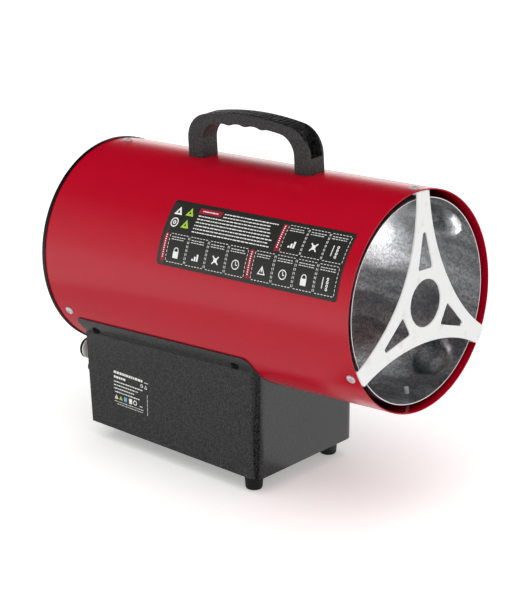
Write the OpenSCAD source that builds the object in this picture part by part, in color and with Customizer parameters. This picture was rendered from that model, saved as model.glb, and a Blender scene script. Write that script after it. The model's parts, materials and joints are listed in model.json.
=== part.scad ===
// Portable propane space heater: a round casing with a fan behind and a burner
// in an inner combustion chamber, tilted slightly on a sheet-metal base that
// holds the gas valve, the igniter and the switch.
//
// Two frames are used. In the axis frame X runs along the casing towards the
// outlet and the origin is at the middle of the casing. In the level frame Z is
// truly upright, with the same origin. Millimetres throughout.

/* [Casing] */
// Outside diameter of the casing
casing_d = 200; // [170:1:240]
// Length of the casing
casing_len = 374; // [340:1:450]
// Sheet thickness of the casing
casing_wall = 1; // [0.8:0.1:1.5]
// Upward tilt of the outlet
tilt = 3.6; // [2:0.1:5]

/* [Combustion chamber] */
// Radial gap between the casing and the chamber
chamber_gap = 7; // [6:0.5:12]
// Sheet thickness of the chamber
chamber_wall = 0.6; // [0.5:0.1:1]
// How far the chamber's front edge is set back behind the casing's
chamber_setback = 3; // [2:0.5:8]
// Length of the chamber
chamber_len = 240; // [200:1:260]
// Radius of the pressed dimples that space the chamber
dimple_r = 24; // [20:1:28]

/* [Front guard] */
// Sheet thickness of the guard
guard_wall = 1.5; // [1:0.1:2]
// Radius of the hole in the guard's hub
guard_hole_r = 21.5; // [18:0.5:24]
// Nearest distance from the axis to the curved edges between the arms
guard_waist_r = 36; // [34:0.5:42]
// Radius of those curved edges
guard_edge_r = 170; // [150:5:190]
// How far the hub stands in front of the arm tips
guard_dish = 3; // [1:0.5:5]
// Turn of the guard from upright
guard_turn = 2.6; // [0:0.1:6]

/* [Handle] */
// Length over the handle's legs
handle_len = 148; // [130:1:170]
// Width of the handle
handle_w = 20; // [18:1:26]
// Height of the handle over the casing
handle_h = 47; // [42:0.5:56]
// Thickness of the grip
grip_t = 10; // [9:0.5:13]
// Thickness of each leg, along the handle
leg_t = 18; // [15:0.5:20]

/* [Base] */
// Width of the base
base_w = 139; // [124:1:150]
// Distance of the base's front wall ahead of the casing's middle
base_front = 57.5; // [40:0.5:70]
// Distance of the base's rear edge behind the casing's middle
base_back = 168.5; // [158:0.5:176]
// Depth of the base under the casing's lowest line
base_drop = 75.5; // [74:0.5:95]
// Sheet thickness of the base
base_wall = 1.2; // [1:0.1:1.6]
// Radius of the base's upright front corners
base_corner_r = 10; // [6:0.5:14]
// Width of the flanges that lie on the casing
flange_w = 23.5; // [20:0.5:26]
// Height of the rubber feet
foot_h = 17; // [12:0.5:20]
// Radius of the rubber feet
foot_r = 9; // [8:0.5:11]

/* [Fan and motor] */
// Running gap between the blade tips and the casing
fan_gap = 7; // [5:0.5:12]
// Number of fan blades
blade_count = 5; // [3:1:6]
// Radius of the motor
motor_r = 34; // [30:1:38]
// Length of the motor's can
motor_len = 40; // [36:1:44]
// Radius of the motor shaft
shaft_r = 4; // [3:0.5:5]

/* [Burner and gas] */
// Radius of the burner cup
cup_r = 40; // [34:1:44]
// Length of the burner cup
cup_len = 46; // [40:1:60]
// Radius of the gas pipes
pipe_r = 3; // [2.5:0.5:4]
// Radius of the gas inlet's outside thread
inlet_r = 8.3; // [6.5:0.1:8.5]
// Length of the gas inlet's thread
inlet_len = 13; // [10:1:16]
// Radius of the cable gland's bore
gland_bore_r = 3.4; // [3:0.1:4]
// Travel of the gas button
gas_travel = 4; // [3:0.5:6]
// Travel of the igniter button
piezo_travel = 5; // [3:0.5:6]

/* [Hidden] */
$fn = 64;

fit = 0.1;              // clearance of a part that sits still in its hole or on its seat
run = 0.3;              // clearance of a part that moves

casing_r = casing_d / 2;
casing_in_r = casing_r - casing_wall;
front_x = casing_len / 2;
back_x = -casing_len / 2;

// Screw sizes
screw_r = 1.9;
head_r = 4.2;
head_h = 2.4;

// Rear grille
lip_wall = 0.8;         // wall of the lip outside the casing
lip_r = casing_r + fit + lip_wall;
lip_cover = 3;          // how far the lip laps over the casing
grille_proud = 1;       // how far the grille stands behind the casing's edge
skirt_wall = 2;
skirt_len = 30;
skirt_r = casing_in_r - fit;
ring_pitch = 9;
ring_wall = 3;
grille_depth = 4;
hub_plate_r = motor_r - 4;
grille_x = back_x - grille_proud;           // rearmost plane of the heater
rear_screw_x = back_x + 18.8;
rear_screw_turn = 2.2;

// The row's origin is under the middle of the outside box, on the floor. The guard's
// hub reaches furthest forward and the grille's lip furthest back.
guard_back = front_x + 1;               // rear face of the guard's arm tips
front_reach = (guard_back + guard_dish + guard_wall) * cos(tilt) + guard_waist_r * sin(tilt);
rear_reach = -grille_x * cos(tilt) + lip_r * sin(tilt);
axis_x = (rear_reach - front_reach) / 2;
axis_z = foot_h + base_drop + casing_r;

// Chamber
chamber_r = casing_in_r - chamber_gap;
chamber_in_r = chamber_r - chamber_wall;
chamber_front = front_x - chamber_setback;
chamber_back = chamber_front - chamber_len;
dimple_x = front_x - 30.5;
dimple_turn = 53.5;
dimple_centre = casing_in_r - fit - dimple_r;
chamber_screw_x = front_x - 23.5;
chamber_screw_turn = 176;
chamber_screw_tip = 6;  // how far the screw reaches into the chamber

// Guard
guard_r = casing_in_r - fit;
tab_back = front_x - 17;
tab_half = asin(8 / guard_r);           // half-width of a tab, as an angle
guard_screw_x = front_x - 7.5;
slot_in = guard_hole_r + 8.8;
slot_out = 63 * casing_r / 100;
slot_half_in = 10.4;
slot_half_out = 2.2;

// Handle
handle_screw_x = [for (s = [-1, 1]) s * (handle_len - leg_t) / 2];
handle_top = casing_r + handle_h;
handle_seat = sqrt(pow(casing_in_r, 2) - pow(head_r, 2)) - 0.05;    // where a flat head meets the casing
arch_r = 229;                           // the grip is a shallow arch of this radius
shoulder_drop = 12;                     // the shoulders' corners lie this far under the top
shoulder_rise = 7.7;                    // and their lines meet this far over it
shoulder_r = 14;
foot_pad_h = 15;                        // solid block at the foot of each leg
leg_web = 4;                            // wall left behind the leg's open channel
bump_r = 5;
bump_pitch = 20;
bump_x = [for (i = [-1:1]) bump_pitch * i - 2];    // finger bumps under the grip

// Label
label_x0 = -38;
label_x1 = 173.5;
label_top = 41;                         // angles from the top, on the near side
label_bottom = 76.5;
label_t = 0.3;

// Motor and fan
motor_x0 = grille_x + grille_depth;     // rear face of the can, on the grille's hub plate
motor_x1 = motor_x0 + motor_len;
can_wall = 1.5;
can_floor = 3;
bush_len = 6;
bush_wall = 4;
boss_wall = 3;
cap_t = 5;
rotor_r = motor_r * 0.6;
stator_in_r = rotor_r + 0.6;
stator_x0 = motor_x0 + 13;
stator_len = 22;
shaft_x0 = motor_x0 + can_floor + 2;
fan_r = casing_in_r - fan_gap;
fan_hub_r = 16;
fan_hub_len = 26;
fan_x0 = motor_x1 + cap_t + bush_len + 2;
fan_x1 = fan_x0 + fan_hub_len;
fan_nut_len = 7;
blade_t = 1.6;
blade_chord = 46;
blade_pitch = 32;
motor_screw_ring = motor_r - 10;

// Burner
plate_t = 1.5;
bracket_x = chamber_back + 2;           // rear face of the burner bracket
bracket_half = 12;
bracket_drop = 58;
bracket_tab_len = 14;
spigot_r = 6;
hex_flats = 17;
holder_len = 20;
jet_nut_len = 6;
cup_x0 = bracket_x + plate_t;
cup_x1 = cup_x0 + cup_len;
cup_wall = 0.8;
flame_x = cup_x1 - 16;
jet_r = 3.5;
jet_len = 9;
probe_y = 14;
probe_z = -(cup_r + 5);
probe_r = 2.2;
ceramic_r = 3.5;
ceramic_len = 34;
riser_x = bracket_x - 12;               // the gas pipe rises here to the jet holder
slot_x0 = riser_x - 28;
slot_x1 = riser_x + 8;
slot_half = 22;

// Base, in the level frame
base_half = base_w / 2;
base_z = -(casing_r + base_drop);       // underside of the base
rim_w = 22;                             // inward rims under the floor and at the rear
rear_rim_w = 11;
flange_r = casing_r + fit;
fold_turn = asin((base_half - base_wall) / flange_r);
flange_turn = asin(base_half / flange_r) + flange_w / flange_r * 180 / PI;
flange_x0 = -base_back + 3;
flange_x1 = base_front - 2;
flange_round = 8;
flange_screw_turn = asin(base_half / flange_r) + 7.5 / flange_r * 180 / PI;
flange_screw_x = [flange_x0 + 17.5, flange_x1 - 24];
front_foot_x = base_front - 18.5;
front_foot_y = base_half - 16.2;
rear_foot_x = -base_back + 38;
rear_foot_y = 28;
foot_places = [
    [front_foot_x, front_foot_y], [front_foot_x, -front_foot_y],
    [rear_foot_x, rear_foot_y], [rear_foot_x, -rear_foot_y]
];

// Rear panel, in the axis frame. A place is [y, z]; the casing overhangs the
// panel, so each control keeps its own radius clear of the lip.
panel_x0 = -base_back;                  // rear face of the panel
panel_x1 = panel_x0 + base_wall;
button_r = 10;
valve_r = 9.4;
valve_at = [-(base_half - 11), -sqrt(pow(lip_r + button_r + 0.8, 2) - pow(base_half - 11, 2))];
gland_r = 6;
gland_at = [valve_at[0] - 3, valve_at[1] - 16.6];
panel_row = -(casing_r + 40);
inlet_at = [-28, panel_row];
piezo_at = [2, panel_row];
switch_at = [34, panel_row];
panel_screw_y = base_half - 7;
panel_screw_low = base_z + 19;
panel_screw_at = [
    [panel_screw_y, -(sqrt(pow(casing_r, 2) - pow(panel_screw_y, 2)) + 12)],
    [panel_screw_y, panel_screw_low], [-panel_screw_y, panel_screw_low]
];

button_t = 5;
valve_nut_t = 3.5;
button_x1 = panel_x0 - valve_nut_t - gas_travel - 0.5;
valve_len = 46;
port_x = [panel_x1 + 18, panel_x1 + 36];
port_r = 5.5;
port_len = 14.5;
nut_len = 8;
piezo_r = 7;
piezo_len = 46;
piezo_button_r = 5.5;
switch_w = 19;
switch_h = 13;
switch_depth = 18;
rocker_throw = 12;      // the rocker rests tilted this far from level
rocker_pin_r = 1.2;
rocker_h = switch_h - 3.8;

// Pipe and lead routes, in the axis frame. The pipe to the burner runs level under
// the casing, low enough to bend clear of the nut on the valve's port.
pipe_bend = 10;
pipe_z = min(-(casing_r + 31), valve_at[1] - port_len - nut_len - pipe_bend);
supply_route = [
    [panel_x1 + 10, inlet_at[0], inlet_at[1]],
    [port_x[0], inlet_at[0], inlet_at[1]],
    [port_x[0], valve_at[0], inlet_at[1]],
    [port_x[0], valve_at[0], valve_at[1] - port_len]
];
burner_route = [
    [port_x[1], valve_at[0], valve_at[1] - port_len],
    [port_x[1], valve_at[0], pipe_z],
    [riser_x, 0, pipe_z],
    [riser_x, 0, -hex_flats]
];
probe_route = [
    [panel_x1 + valve_len + 4, valve_at[0], valve_at[1]],
    [panel_x1 + valve_len + 14, valve_at[0], valve_at[1]],
    [panel_x1 + valve_len + 14, valve_at[0], -(casing_r + 14)],
    [slot_x0 + 7, -probe_y, -(casing_r + 14)],
    [slot_x0 + 7, -probe_y, probe_z],
    [bracket_x - 4, -probe_y, probe_z]
];
spark_route = [
    [panel_x1 + piezo_len, piezo_at[0], piezo_at[1]],
    [panel_x1 + piezo_len + 10, piezo_at[0], piezo_at[1]],
    [slot_x0 + 9, probe_y, piezo_at[1]],
    [slot_x0 + 9, probe_y, probe_z],
    [bracket_x - 14, probe_y, probe_z]
];
wire_route = [
    [bracket_x + 20, probe_y, probe_z],
    [cup_x1 + 4, probe_y, probe_z],
    [cup_x1 + 10, probe_y * 0.9, probe_z + 9]
];

/* Placing */

// Axis frame to the row frame
module standing() {
    translate([axis_x, 0, axis_z]) rotate([0, -tilt, 0]) children();
}

// Level frame, inside the axis frame
module level() {
    rotate([0, tilt, 0]) children();
}

// Local Z along the casing, starting at x
module along(x, y = 0, z = 0) {
    translate([x, y, z]) rotate([0, 90, 0]) children();
}

// Local Z pointing outwards at radius r; turn is measured from the top to +Y
module around(x, turn, r) {
    translate([x, 0, 0]) rotate([-turn, 0, 0]) translate([0, 0, r]) children();
}

/* Shared shapes */

module ring(x0, x1, outer, inner) {
    difference() {
        along(x0) cylinder(r = outer, h = x1 - x0);
        along(x0 - 1) cylinder(r = inner, h = x1 - x0 + 2);
    }
}

// Piece of a tube wall between two angles, measured from the bottom to +Y
module arc_wall(x0, x1, inner, outer, turn0, turn1) {
    along(x0) rotate([0, 0, turn0]) rotate_extrude(angle = turn1 - turn0)
        translate([inner, 0]) square([outer - inner, x1 - x0]);
}

// Pan head with a cross recess; the head's underside is at z = 0
module pan_screw(length, r = screw_r, head = head_r, height = head_h) {
    dome = [for (i = [0:6]) [head * cos(i * 15), height * (0.35 + 0.65 * sin(i * 15))]];
    difference() {
        union() {
            rotate_extrude() polygon(concat([[0, 0], [head, 0]], dome));
            translate([0, 0, -length]) cylinder(r = r, h = length + 0.5);
        }
        for (turn = [0, 90]) rotate([0, 0, turn])
            translate([-head * 0.55, -head * 0.13, height * 0.45]) cube([head * 1.1, head * 0.26, height]);
    }
}

module hex_nut(flats, length, bore) {
    difference() {
        cylinder(r = flats / sqrt(3), h = length, $fn = 6);
        translate([0, 0, -1]) cylinder(r = bore, h = length + 2);
    }
}

// Corner points of a polygon, each corner rounded to radius r with six short edges
function unit(v) = v / norm(v);
function corner(a, b, c, r) =
    let (
        u = unit(a - b), v = unit(c - b),
        half = acos(u * v) / 2,
        middle = b + unit(u + v) * r / sin(half),
        from = b + u * r / tan(half) - middle,
        to = b + v * r / tan(half) - middle,
        swing = 180 - 2 * half
    )
    [for (i = [0:6]) middle + (sin(swing * (1 - i / 6)) * from + sin(swing * i / 6) * to) / sin(swing)];
function rounded(points, r) =
    let (n = len(points))
    [for (i = [0:n - 1]) each corner(points[(i + n - 1) % n], points[i], points[(i + 1) % n], r)];

// A bent tube: straight runs between points, with bends of the given radius
function bent(points, bend) =
    concat(
        [points[0]],
        [for (i = [1:len(points) - 2]) each corner(points[i - 1], points[i], points[i + 1], bend)],
        [points[len(points) - 1]]
    );
function heading(path, i) =
    i == 0 ? unit(path[1] - path[0])
    : i == len(path) - 1 ? unit(path[i] - path[i - 1])
    : unit(unit(path[i + 1] - path[i]) + unit(path[i] - path[i - 1]));
function side(path, i) =
    let (
        before = i == 0 ? (abs(heading(path, 0)[2]) < 0.9 ? [0, 0, 1] : [1, 0, 0]) : side(path, i - 1),
        ahead = heading(path, i)
    )
    unit(before - (before * ahead) * ahead);
module bent_tube(points, r, bend, sides = 10) {
    path = bent(points, bend);
    rings = len(path);
    shell = [
        for (i = [0:rings - 1])
            let (n = side(path, i), m = cross(heading(path, i), n))
            for (k = [0:sides - 1]) path[i] + r * (cos(k * 360 / sides) * n + sin(k * 360 / sides) * m)
    ];
    walls = [
        for (i = [0:rings - 2], k = [0:sides - 1])
            let (a = i * sides + k, b = i * sides + (k + 1) % sides)
            [a, a + sides, b + sides, b]
    ];
    ends = [[for (k = [0:sides - 1]) k], [for (k = [sides - 1:-1:0]) (rings - 1) * sides + k]];
    polyhedron(shell, concat(walls, ends));
}

/* Casing */

module outer_casing() color([0.68, 0.02, 0.1]) standing() difference() {
    ring(back_x, front_x, casing_r, casing_in_r);
    for (i = [0:2]) {
        around(rear_screw_x, rear_screw_turn + i * 120, 0) cylinder(r = screw_r + fit, h = casing_d);
        around(guard_screw_x, guard_turn + i * 120, 0) cylinder(r = screw_r + fit, h = casing_d);
    }
    around(chamber_screw_x, chamber_screw_turn, 0) cylinder(r = screw_r + fit, h = casing_d);
    for (x = handle_screw_x) around(x, 0, 0) cylinder(r = screw_r + fit, h = casing_d);
    for (x = flange_screw_x, turn = [180 - flange_screw_turn, 180 + flange_screw_turn])
        around(x, turn, 0) cylinder(r = screw_r + fit, h = casing_d);
    translate([slot_x0, -slot_half, -casing_d]) cube([slot_x1 - slot_x0, 2 * slot_half, casing_d]);
}

module casing_label() color([0.17, 0.17, 0.16]) standing()
    arc_wall(label_x0, label_x1, casing_r + 0.05, casing_r + 0.05 + label_t,
        -(180 - label_top), -(180 - label_bottom));

/* Combustion chamber */

module chamber_block(grow) {
    beyond = grow < 0 ? 1 : 0;
    along(chamber_back - beyond) cylinder(r = chamber_r + grow, h = chamber_len + 2 * beyond);
    for (i = [0:3]) around(dimple_x, dimple_turn + i * 90, dimple_centre) sphere(r = dimple_r + grow);
}

module combustion_chamber() color([0.62, 0.64, 0.66]) standing() difference() {
    chamber_block(0);
    chamber_block(-chamber_wall);
    around(chamber_screw_x, chamber_screw_turn, 0) cylinder(r = screw_r + fit, h = casing_d);
    for (turn = [90, -90]) around(bracket_x + bracket_tab_len / 2 + 2, turn, 0)
        cylinder(r = screw_r + fit, h = casing_d);
}

module chamber_screw() color([0.8, 0.8, 0.8]) standing()
    around(chamber_screw_x, chamber_screw_turn, casing_r)
        pan_screw(casing_wall + chamber_gap + chamber_wall + chamber_screw_tip);

/* Front guard */

// Shallow cone of sheet, flat at the hub
module guard_dish_sheet() {
    flat_r = guard_waist_r - 6;
    along(guard_back) rotate_extrude() polygon([
        [0, guard_dish], [flat_r, guard_dish], [guard_r, 0],
        [guard_r, guard_wall], [flat_r, guard_dish + guard_wall], [0, guard_dish + guard_wall]
    ]);
}

module guard_outline(height) {
    edge_at = guard_waist_r + guard_edge_r;
    difference() {
        cylinder(r = guard_r, h = height);
        translate([0, 0, -1]) cylinder(r = guard_hole_r, h = height + 2);
        for (i = [0:2]) rotate([0, 0, 60 + i * 120]) translate([edge_at, 0, -1])
            cylinder(r = guard_edge_r, h = height + 2);
        for (i = [0:2]) rotate([0, 0, i * 120]) translate([0, 0, -1]) linear_extrude(height + 2)
            polygon(rounded([
                [slot_in, -slot_half_in], [slot_out, -slot_half_out],
                [slot_out, slot_half_out], [slot_in, slot_half_in]
            ], 1.9));
    }
}

module front_guard() color([0.9, 0.9, 0.9]) standing() difference() {
    union() {
        intersection() {
            guard_dish_sheet();
            translate([guard_back - 1, 0, 0]) rotate([-guard_turn, 0, 0]) rotate([0, 90, 0])
                rotate([0, 0, 180]) guard_outline(guard_dish + guard_wall + 2);
        }
        for (i = [0:2]) let (turn = 180 - guard_turn - i * 120)
            arc_wall(tab_back, guard_back + guard_wall * 0.8, guard_r - guard_wall, guard_r,
                turn - tab_half, turn + tab_half);
    }
    for (i = [0:2]) around(guard_screw_x, guard_turn + i * 120, 0)
        cylinder(r = screw_r + fit, h = casing_d);
}

module guard_screws() color([0.85, 0.85, 0.85]) standing()
    for (i = [0:2]) around(guard_screw_x, guard_turn + i * 120, casing_r) pan_screw(casing_wall + 4.5);

/* Rear grille */

module rear_grille() color([0.08, 0.08, 0.08]) standing() difference() {
    union() {
        ring(grille_x, back_x + lip_cover, lip_r, casing_r + fit);
        ring(grille_x, back_x - fit, lip_r, skirt_r - 6);
        ring(grille_x, back_x + skirt_len, skirt_r, skirt_r - skirt_wall);
        along(grille_x) cylinder(r = hub_plate_r, h = grille_depth);
        for (r = [hub_plate_r + ring_pitch:ring_pitch:skirt_r - ring_wall])
            ring(grille_x, grille_x + grille_depth, r, r - ring_wall);
        for (i = [0:2]) rotate([i * 60 + 30, 0, 0])
            translate([grille_x, -(skirt_r - 1), -2]) cube([grille_depth, 2 * (skirt_r - 1), 4]);
    }
    for (i = [0:2]) around(rear_screw_x, rear_screw_turn + i * 120, 0)
        cylinder(r = screw_r + fit, h = casing_d);
    for (i = [0:3]) rotate([i * 90 + 45, 0, 0]) {
        along(grille_x - 1, 0, motor_screw_ring) cylinder(r = screw_r + fit, h = 20);
        along(grille_x - 1, 0, motor_screw_ring) cylinder(r = head_r + run, h = 1 + head_h + fit);
    }
}

module rear_screws() color([0.85, 0.85, 0.85]) standing()
    for (i = [0:2]) around(rear_screw_x, rear_screw_turn + i * 120, casing_r) pan_screw(casing_wall + 5);

/* Handle */

// Side view of the handle: an arch with rounded shoulders, inside and outside
module handle_side() {
    half = handle_len / 2;
    inner = half - leg_t;
    low = casing_r - 30;
    under = handle_top - grip_t;
    difference() {
        intersection() {
            translate([0, handle_top - arch_r]) circle(r = arch_r);
            polygon(rounded([
                [-half, low], [half, low], [half, handle_top - shoulder_drop],
                [0, handle_top + shoulder_rise], [-half, handle_top - shoulder_drop]
            ], shoulder_r));
        }
        intersection() {
            translate([0, handle_top - arch_r]) circle(r = arch_r - grip_t);
            polygon(rounded([
                [-inner, low - 10], [inner, low - 10], [inner - 1, under - shoulder_drop * 0.6],
                [0, under + shoulder_rise * 0.7], [1 - inner, under - shoulder_drop * 0.6]
            ], shoulder_r + 4));
        }
    }
}

module handle() color([0.13, 0.13, 0.13]) standing() difference() {
    union() {
        rotate([90, 0, 0]) translate([0, 0, -handle_w / 2]) linear_extrude(handle_w) handle_side();
        for (x = bump_x) let (sag = x * x / (2 * (arch_r - grip_t)))
            translate([x, 0, handle_top - grip_t - sag + bump_r - 1]) rotate([90, 0, 0])
                cylinder(r = bump_r, h = handle_w - 3, center = true);
    }
    along(-casing_len / 2) cylinder(r = casing_r + fit, h = casing_len);
    for (s = [-1, 1]) {
        translate([s * handle_len / 2, 0, casing_r + foot_pad_h + 12])
            cube([2 * (leg_t - leg_web), handle_w - 6, 24], center = true);
        around(handle_screw_x[(s + 1) / 2], 0, casing_r - 3) cylinder(r = screw_r + fit, h = 16);
    }
}

module handle_screws() color([0.75, 0.75, 0.75]) standing()
    for (x = handle_screw_x) around(x, 0, handle_seat) rotate([180, 0, 0]) pan_screw(casing_wall + 11);

/* Motor and fan */

module motor_can() color([0.55, 0.56, 0.58]) standing() difference() {
    union() {
        ring(motor_x0, motor_x1, motor_r, motor_r - can_wall);
        along(motor_x0) cylinder(r = motor_r, h = can_floor);
        along(motor_x0) cylinder(r = shaft_r + fit + bush_wall + boss_wall, h = can_floor + bush_len);
    }
    along(motor_x0 + can_floor) cylinder(r = shaft_r + fit + bush_wall, h = bush_len + 1);
    for (i = [0:3]) rotate([i * 90 + 45, 0, 0])
        along(motor_x0 - 1, 0, motor_screw_ring) cylinder(r = screw_r + fit, h = can_floor + 2);
}

module motor_front_cap() color([0.6, 0.61, 0.63]) standing() difference() {
    union() {
        along(motor_x1) cylinder(r = motor_r, h = cap_t);
        along(motor_x1) cylinder(r = shaft_r + fit + bush_wall + boss_wall, h = cap_t + bush_len - 1);
    }
    along(motor_x1 - 1) cylinder(r = shaft_r + run, h = 20);
    along(motor_x1 + cap_t - 1) cylinder(r = shaft_r + fit + bush_wall, h = bush_len + 1);
    for (i = [0:5]) rotate([i * 60, 0, 0]) along(motor_x1 - 1, 0, motor_r - 9)
        cylinder(r = 3.5, h = cap_t + 2);
}

module motor_screws() color([0.75, 0.75, 0.75]) standing()
    for (i = [0:3]) rotate([i * 90 + 45, 0, 0])
        along(grille_x + head_h + fit, 0, motor_screw_ring) rotate([180, 0, 0])
            pan_screw(grille_depth - head_h + can_floor - 0.5);

module motor_stator() color([0.35, 0.33, 0.32]) standing() difference() {
    ring(stator_x0, stator_x0 + stator_len, motor_r - can_wall - fit, stator_in_r);
    for (i = [0:3]) rotate([i * 90, 0, 0]) along(stator_x0 - 1, 0, (stator_in_r + motor_r) / 2)
        cylinder(r = 3, h = stator_len + 2);
}

module motor_bushes() color([0.72, 0.52, 0.28]) standing() {
    for (x = [motor_x0 + can_floor, motor_x1 + cap_t - 1])
        ring(x, x + bush_len, shaft_r + bush_wall, shaft_r + 0.08);
}

module motor_rotor() color([0.5, 0.5, 0.52]) standing()
    ring(stator_x0, stator_x0 + stator_len, rotor_r, shaft_r + 0.02);

module motor_shaft() color([0.8, 0.8, 0.82]) standing()
    along(shaft_x0) cylinder(r = shaft_r, h = fan_x1 + fan_nut_len - shaft_x0 + 2);

// One curved blade, reaching out along +Z
module fan_blade() {
    bow_r = blade_chord * 1.1;
    intersection() {
        translate([(fan_x0 + fan_x1) / 2, 0, 0]) rotate([0, 0, 90 - blade_pitch])
            translate([0, -bow_r + 3, fan_hub_r - 3]) intersection() {
                difference() {
                    cylinder(r = bow_r, h = fan_r);
                    translate([0, 0, -1]) cylinder(r = bow_r - blade_t, h = fan_r + 2);
                }
                translate([-blade_chord / 2, 0, 0]) cube([blade_chord, 2 * bow_r, fan_r]);
            }
        along(fan_x0) cylinder(r = fan_r, h = fan_hub_len);
    }
}

module fan_impeller() color([0.75, 0.76, 0.78]) standing() difference() {
    union() {
        along(fan_x0) cylinder(r = fan_hub_r, h = fan_hub_len);
        for (i = [0:blade_count - 1]) rotate([i * 360 / blade_count, 0, 0]) fan_blade();
    }
    along(fan_x0 - 1) cylinder(r = shaft_r + 0.02, h = fan_hub_len + 2);
}

module fan_nut() color([0.7, 0.6, 0.3]) standing()
    along(fan_x1) hex_nut(14, fan_nut_len, shaft_r + 0.02);

/* Burner */

module burner_bracket() color([0.6, 0.62, 0.64]) standing() {
    reach = sqrt(pow(chamber_in_r - fit, 2) - pow(bracket_half, 2));
    difference() {
        union() {
            translate([bracket_x, -reach, -bracket_half]) cube([plate_t, 2 * reach, 2 * bracket_half]);
            translate([bracket_x, -probe_y - 9, -bracket_drop])
                cube([plate_t, 2 * probe_y + 18, bracket_drop]);
            for (turn = [90, -90]) arc_wall(bracket_x, bracket_x + bracket_tab_len + 2,
                chamber_in_r - fit - plate_t, chamber_in_r - fit, turn - 7, turn + 7);
        }
        along(bracket_x - 1) cylinder(r = spigot_r + fit, h = plate_t + 2);
        along(bracket_x - 1, -probe_y, probe_z) cylinder(r = probe_r + fit, h = plate_t + 2);
        along(bracket_x - 1, probe_y, probe_z) cylinder(r = ceramic_r + fit, h = plate_t + 2);
        for (turn = [90, -90]) around(bracket_x + bracket_tab_len / 2 + 2, turn, 0)
            cylinder(r = screw_r + fit, h = casing_d);
    }
}

module bracket_screws() color([0.8, 0.8, 0.8]) standing()
    for (turn = [90, -90]) around(bracket_x + bracket_tab_len / 2 + 2, turn, chamber_r) pan_screw(6);

module burner_cup() color([0.5, 0.5, 0.5]) standing() difference() {
    along(cup_x0) rotate_extrude() polygon([
        [spigot_r + fit, 0], [cup_r - 6, 0], [cup_r, 6], [cup_r, cup_len - 8], [cup_r + 3, cup_len],
        [cup_r + 3 - cup_wall, cup_len], [cup_r - cup_wall, cup_len - 8], [cup_r - cup_wall, 6.4],
        [cup_r - 6.3, cup_wall], [spigot_r + fit, cup_wall]
    ]);
    for (i = [0:11]) rotate([i * 30, 0, 0]) along(cup_x0 - 1, 0, cup_r - 15) cylinder(r = 4.5, h = 4);
    for (i = [0:15]) around(cup_x0 + 15, i * 22.5, cup_r - 4) cylinder(r = 3.2, h = 8);
    for (i = [0:15]) around(cup_x0 + 27, i * 22.5 + 11.25, cup_r - 4) cylinder(r = 3.2, h = 8);
}

module flame_disc() color([0.45, 0.42, 0.4]) standing() difference() {
    union() {
        along(flame_x) cylinder(r = cup_r - cup_wall - fit, h = 1);
        ring(flame_x, flame_x + 6, cup_r - cup_wall - fit, cup_r - cup_wall - fit - 1);
    }
    along(flame_x - 1) cylinder(r = 5, h = 4);
    for (i = [0:7]) rotate([i * 45, 0, 0]) along(flame_x - 1, 0, 14) cylinder(r = 3, h = 4);
    for (i = [0:15]) rotate([i * 22.5, 0, 0]) along(flame_x - 1, 0, cup_r - 13) cylinder(r = 3, h = 4);
}

module jet_holder() color([0.78, 0.6, 0.3]) standing() difference() {
    union() {
        along(bracket_x - holder_len) cylinder(r = hex_flats / sqrt(3), h = holder_len, $fn = 6);
        along(bracket_x - 1) cylinder(r = spigot_r, h = plate_t + cup_wall + jet_nut_len + 2);
        translate([riser_x, 0, -hex_flats]) cylinder(r = 5, h = hex_flats);
    }
    translate([riser_x, 0, -hex_flats - 1]) cylinder(r = 2, h = hex_flats + 1);
    along(riser_x) cylinder(r = 2, h = holder_len + 30);
}

module jet_nut() color([0.78, 0.6, 0.3]) standing()
    along(cup_x0 + cup_wall) hex_nut(hex_flats, jet_nut_len, spigot_r + 0.02);

module gas_jet() color([0.85, 0.68, 0.35]) standing() {
    jet_x = bracket_x + plate_t + cup_wall + jet_nut_len + 1;
    difference() {
        along(jet_x) cylinder(r = jet_r, h = jet_len);
        along(jet_x - 1) cylinder(r = 0.8, h = jet_len + 2);
    }
}

module thermocouple() color([0.7, 0.7, 0.7]) standing() union() {
    along(bracket_x - 4, -probe_y, probe_z) cylinder(r = probe_r, h = cup_len + 12);
    along(bracket_x - 4, -probe_y, probe_z) cylinder(r = probe_r + 1.8, h = 4);
}

module thermocouple_lead() color([0.72, 0.45, 0.3]) standing() bent_tube(probe_route, 1.1, 7, 8);

module electrode_ceramic() color([0.93, 0.92, 0.88]) standing() union() {
    along(bracket_x - 14, probe_y, probe_z) cylinder(r = ceramic_r, h = ceramic_len);
    along(bracket_x - 4, probe_y, probe_z) cylinder(r = ceramic_r + 1.5, h = 4);
}

module electrode_wire() color([0.6, 0.6, 0.6]) standing() bent_tube(wire_route, 0.9, 3, 8);

module ignition_lead() color([0.75, 0.1, 0.1]) standing() bent_tube(spark_route, 1.6, 8, 8);

module overheat_thermostat() color([0.2, 0.2, 0.22]) standing() around((slot_x0 + slot_x1) / 2, 60, 0) {
    difference() {
        translate([0, 0, casing_in_r - 9]) cylinder(r = 8, h = 20);
        rotate([0, 90, 0]) difference() {
            cylinder(r = casing_d, h = 60, center = true);
            cylinder(r = casing_in_r - fit, h = 62, center = true);
        }
    }
}

/* Base */

// The block that the base is folded around, in the axis frame; it opens to the rear
module base_block(inset, floor_inset) {
    half = base_half - inset;
    front = base_front - inset;
    r = base_corner_r - inset;
    behind = -2 * base_back;
    level() translate([0, 0, base_z + floor_inset]) linear_extrude(casing_r + base_drop) union() {
        translate([behind, -half]) square([front - r - behind, 2 * half]);
        translate([front - r - 1, -half + r]) square([r + 1, 2 * (half - r)]);
        for (s = [-1, 1]) translate([front - r, s * (half - r)]) circle(r = r);
    }
}

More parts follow.
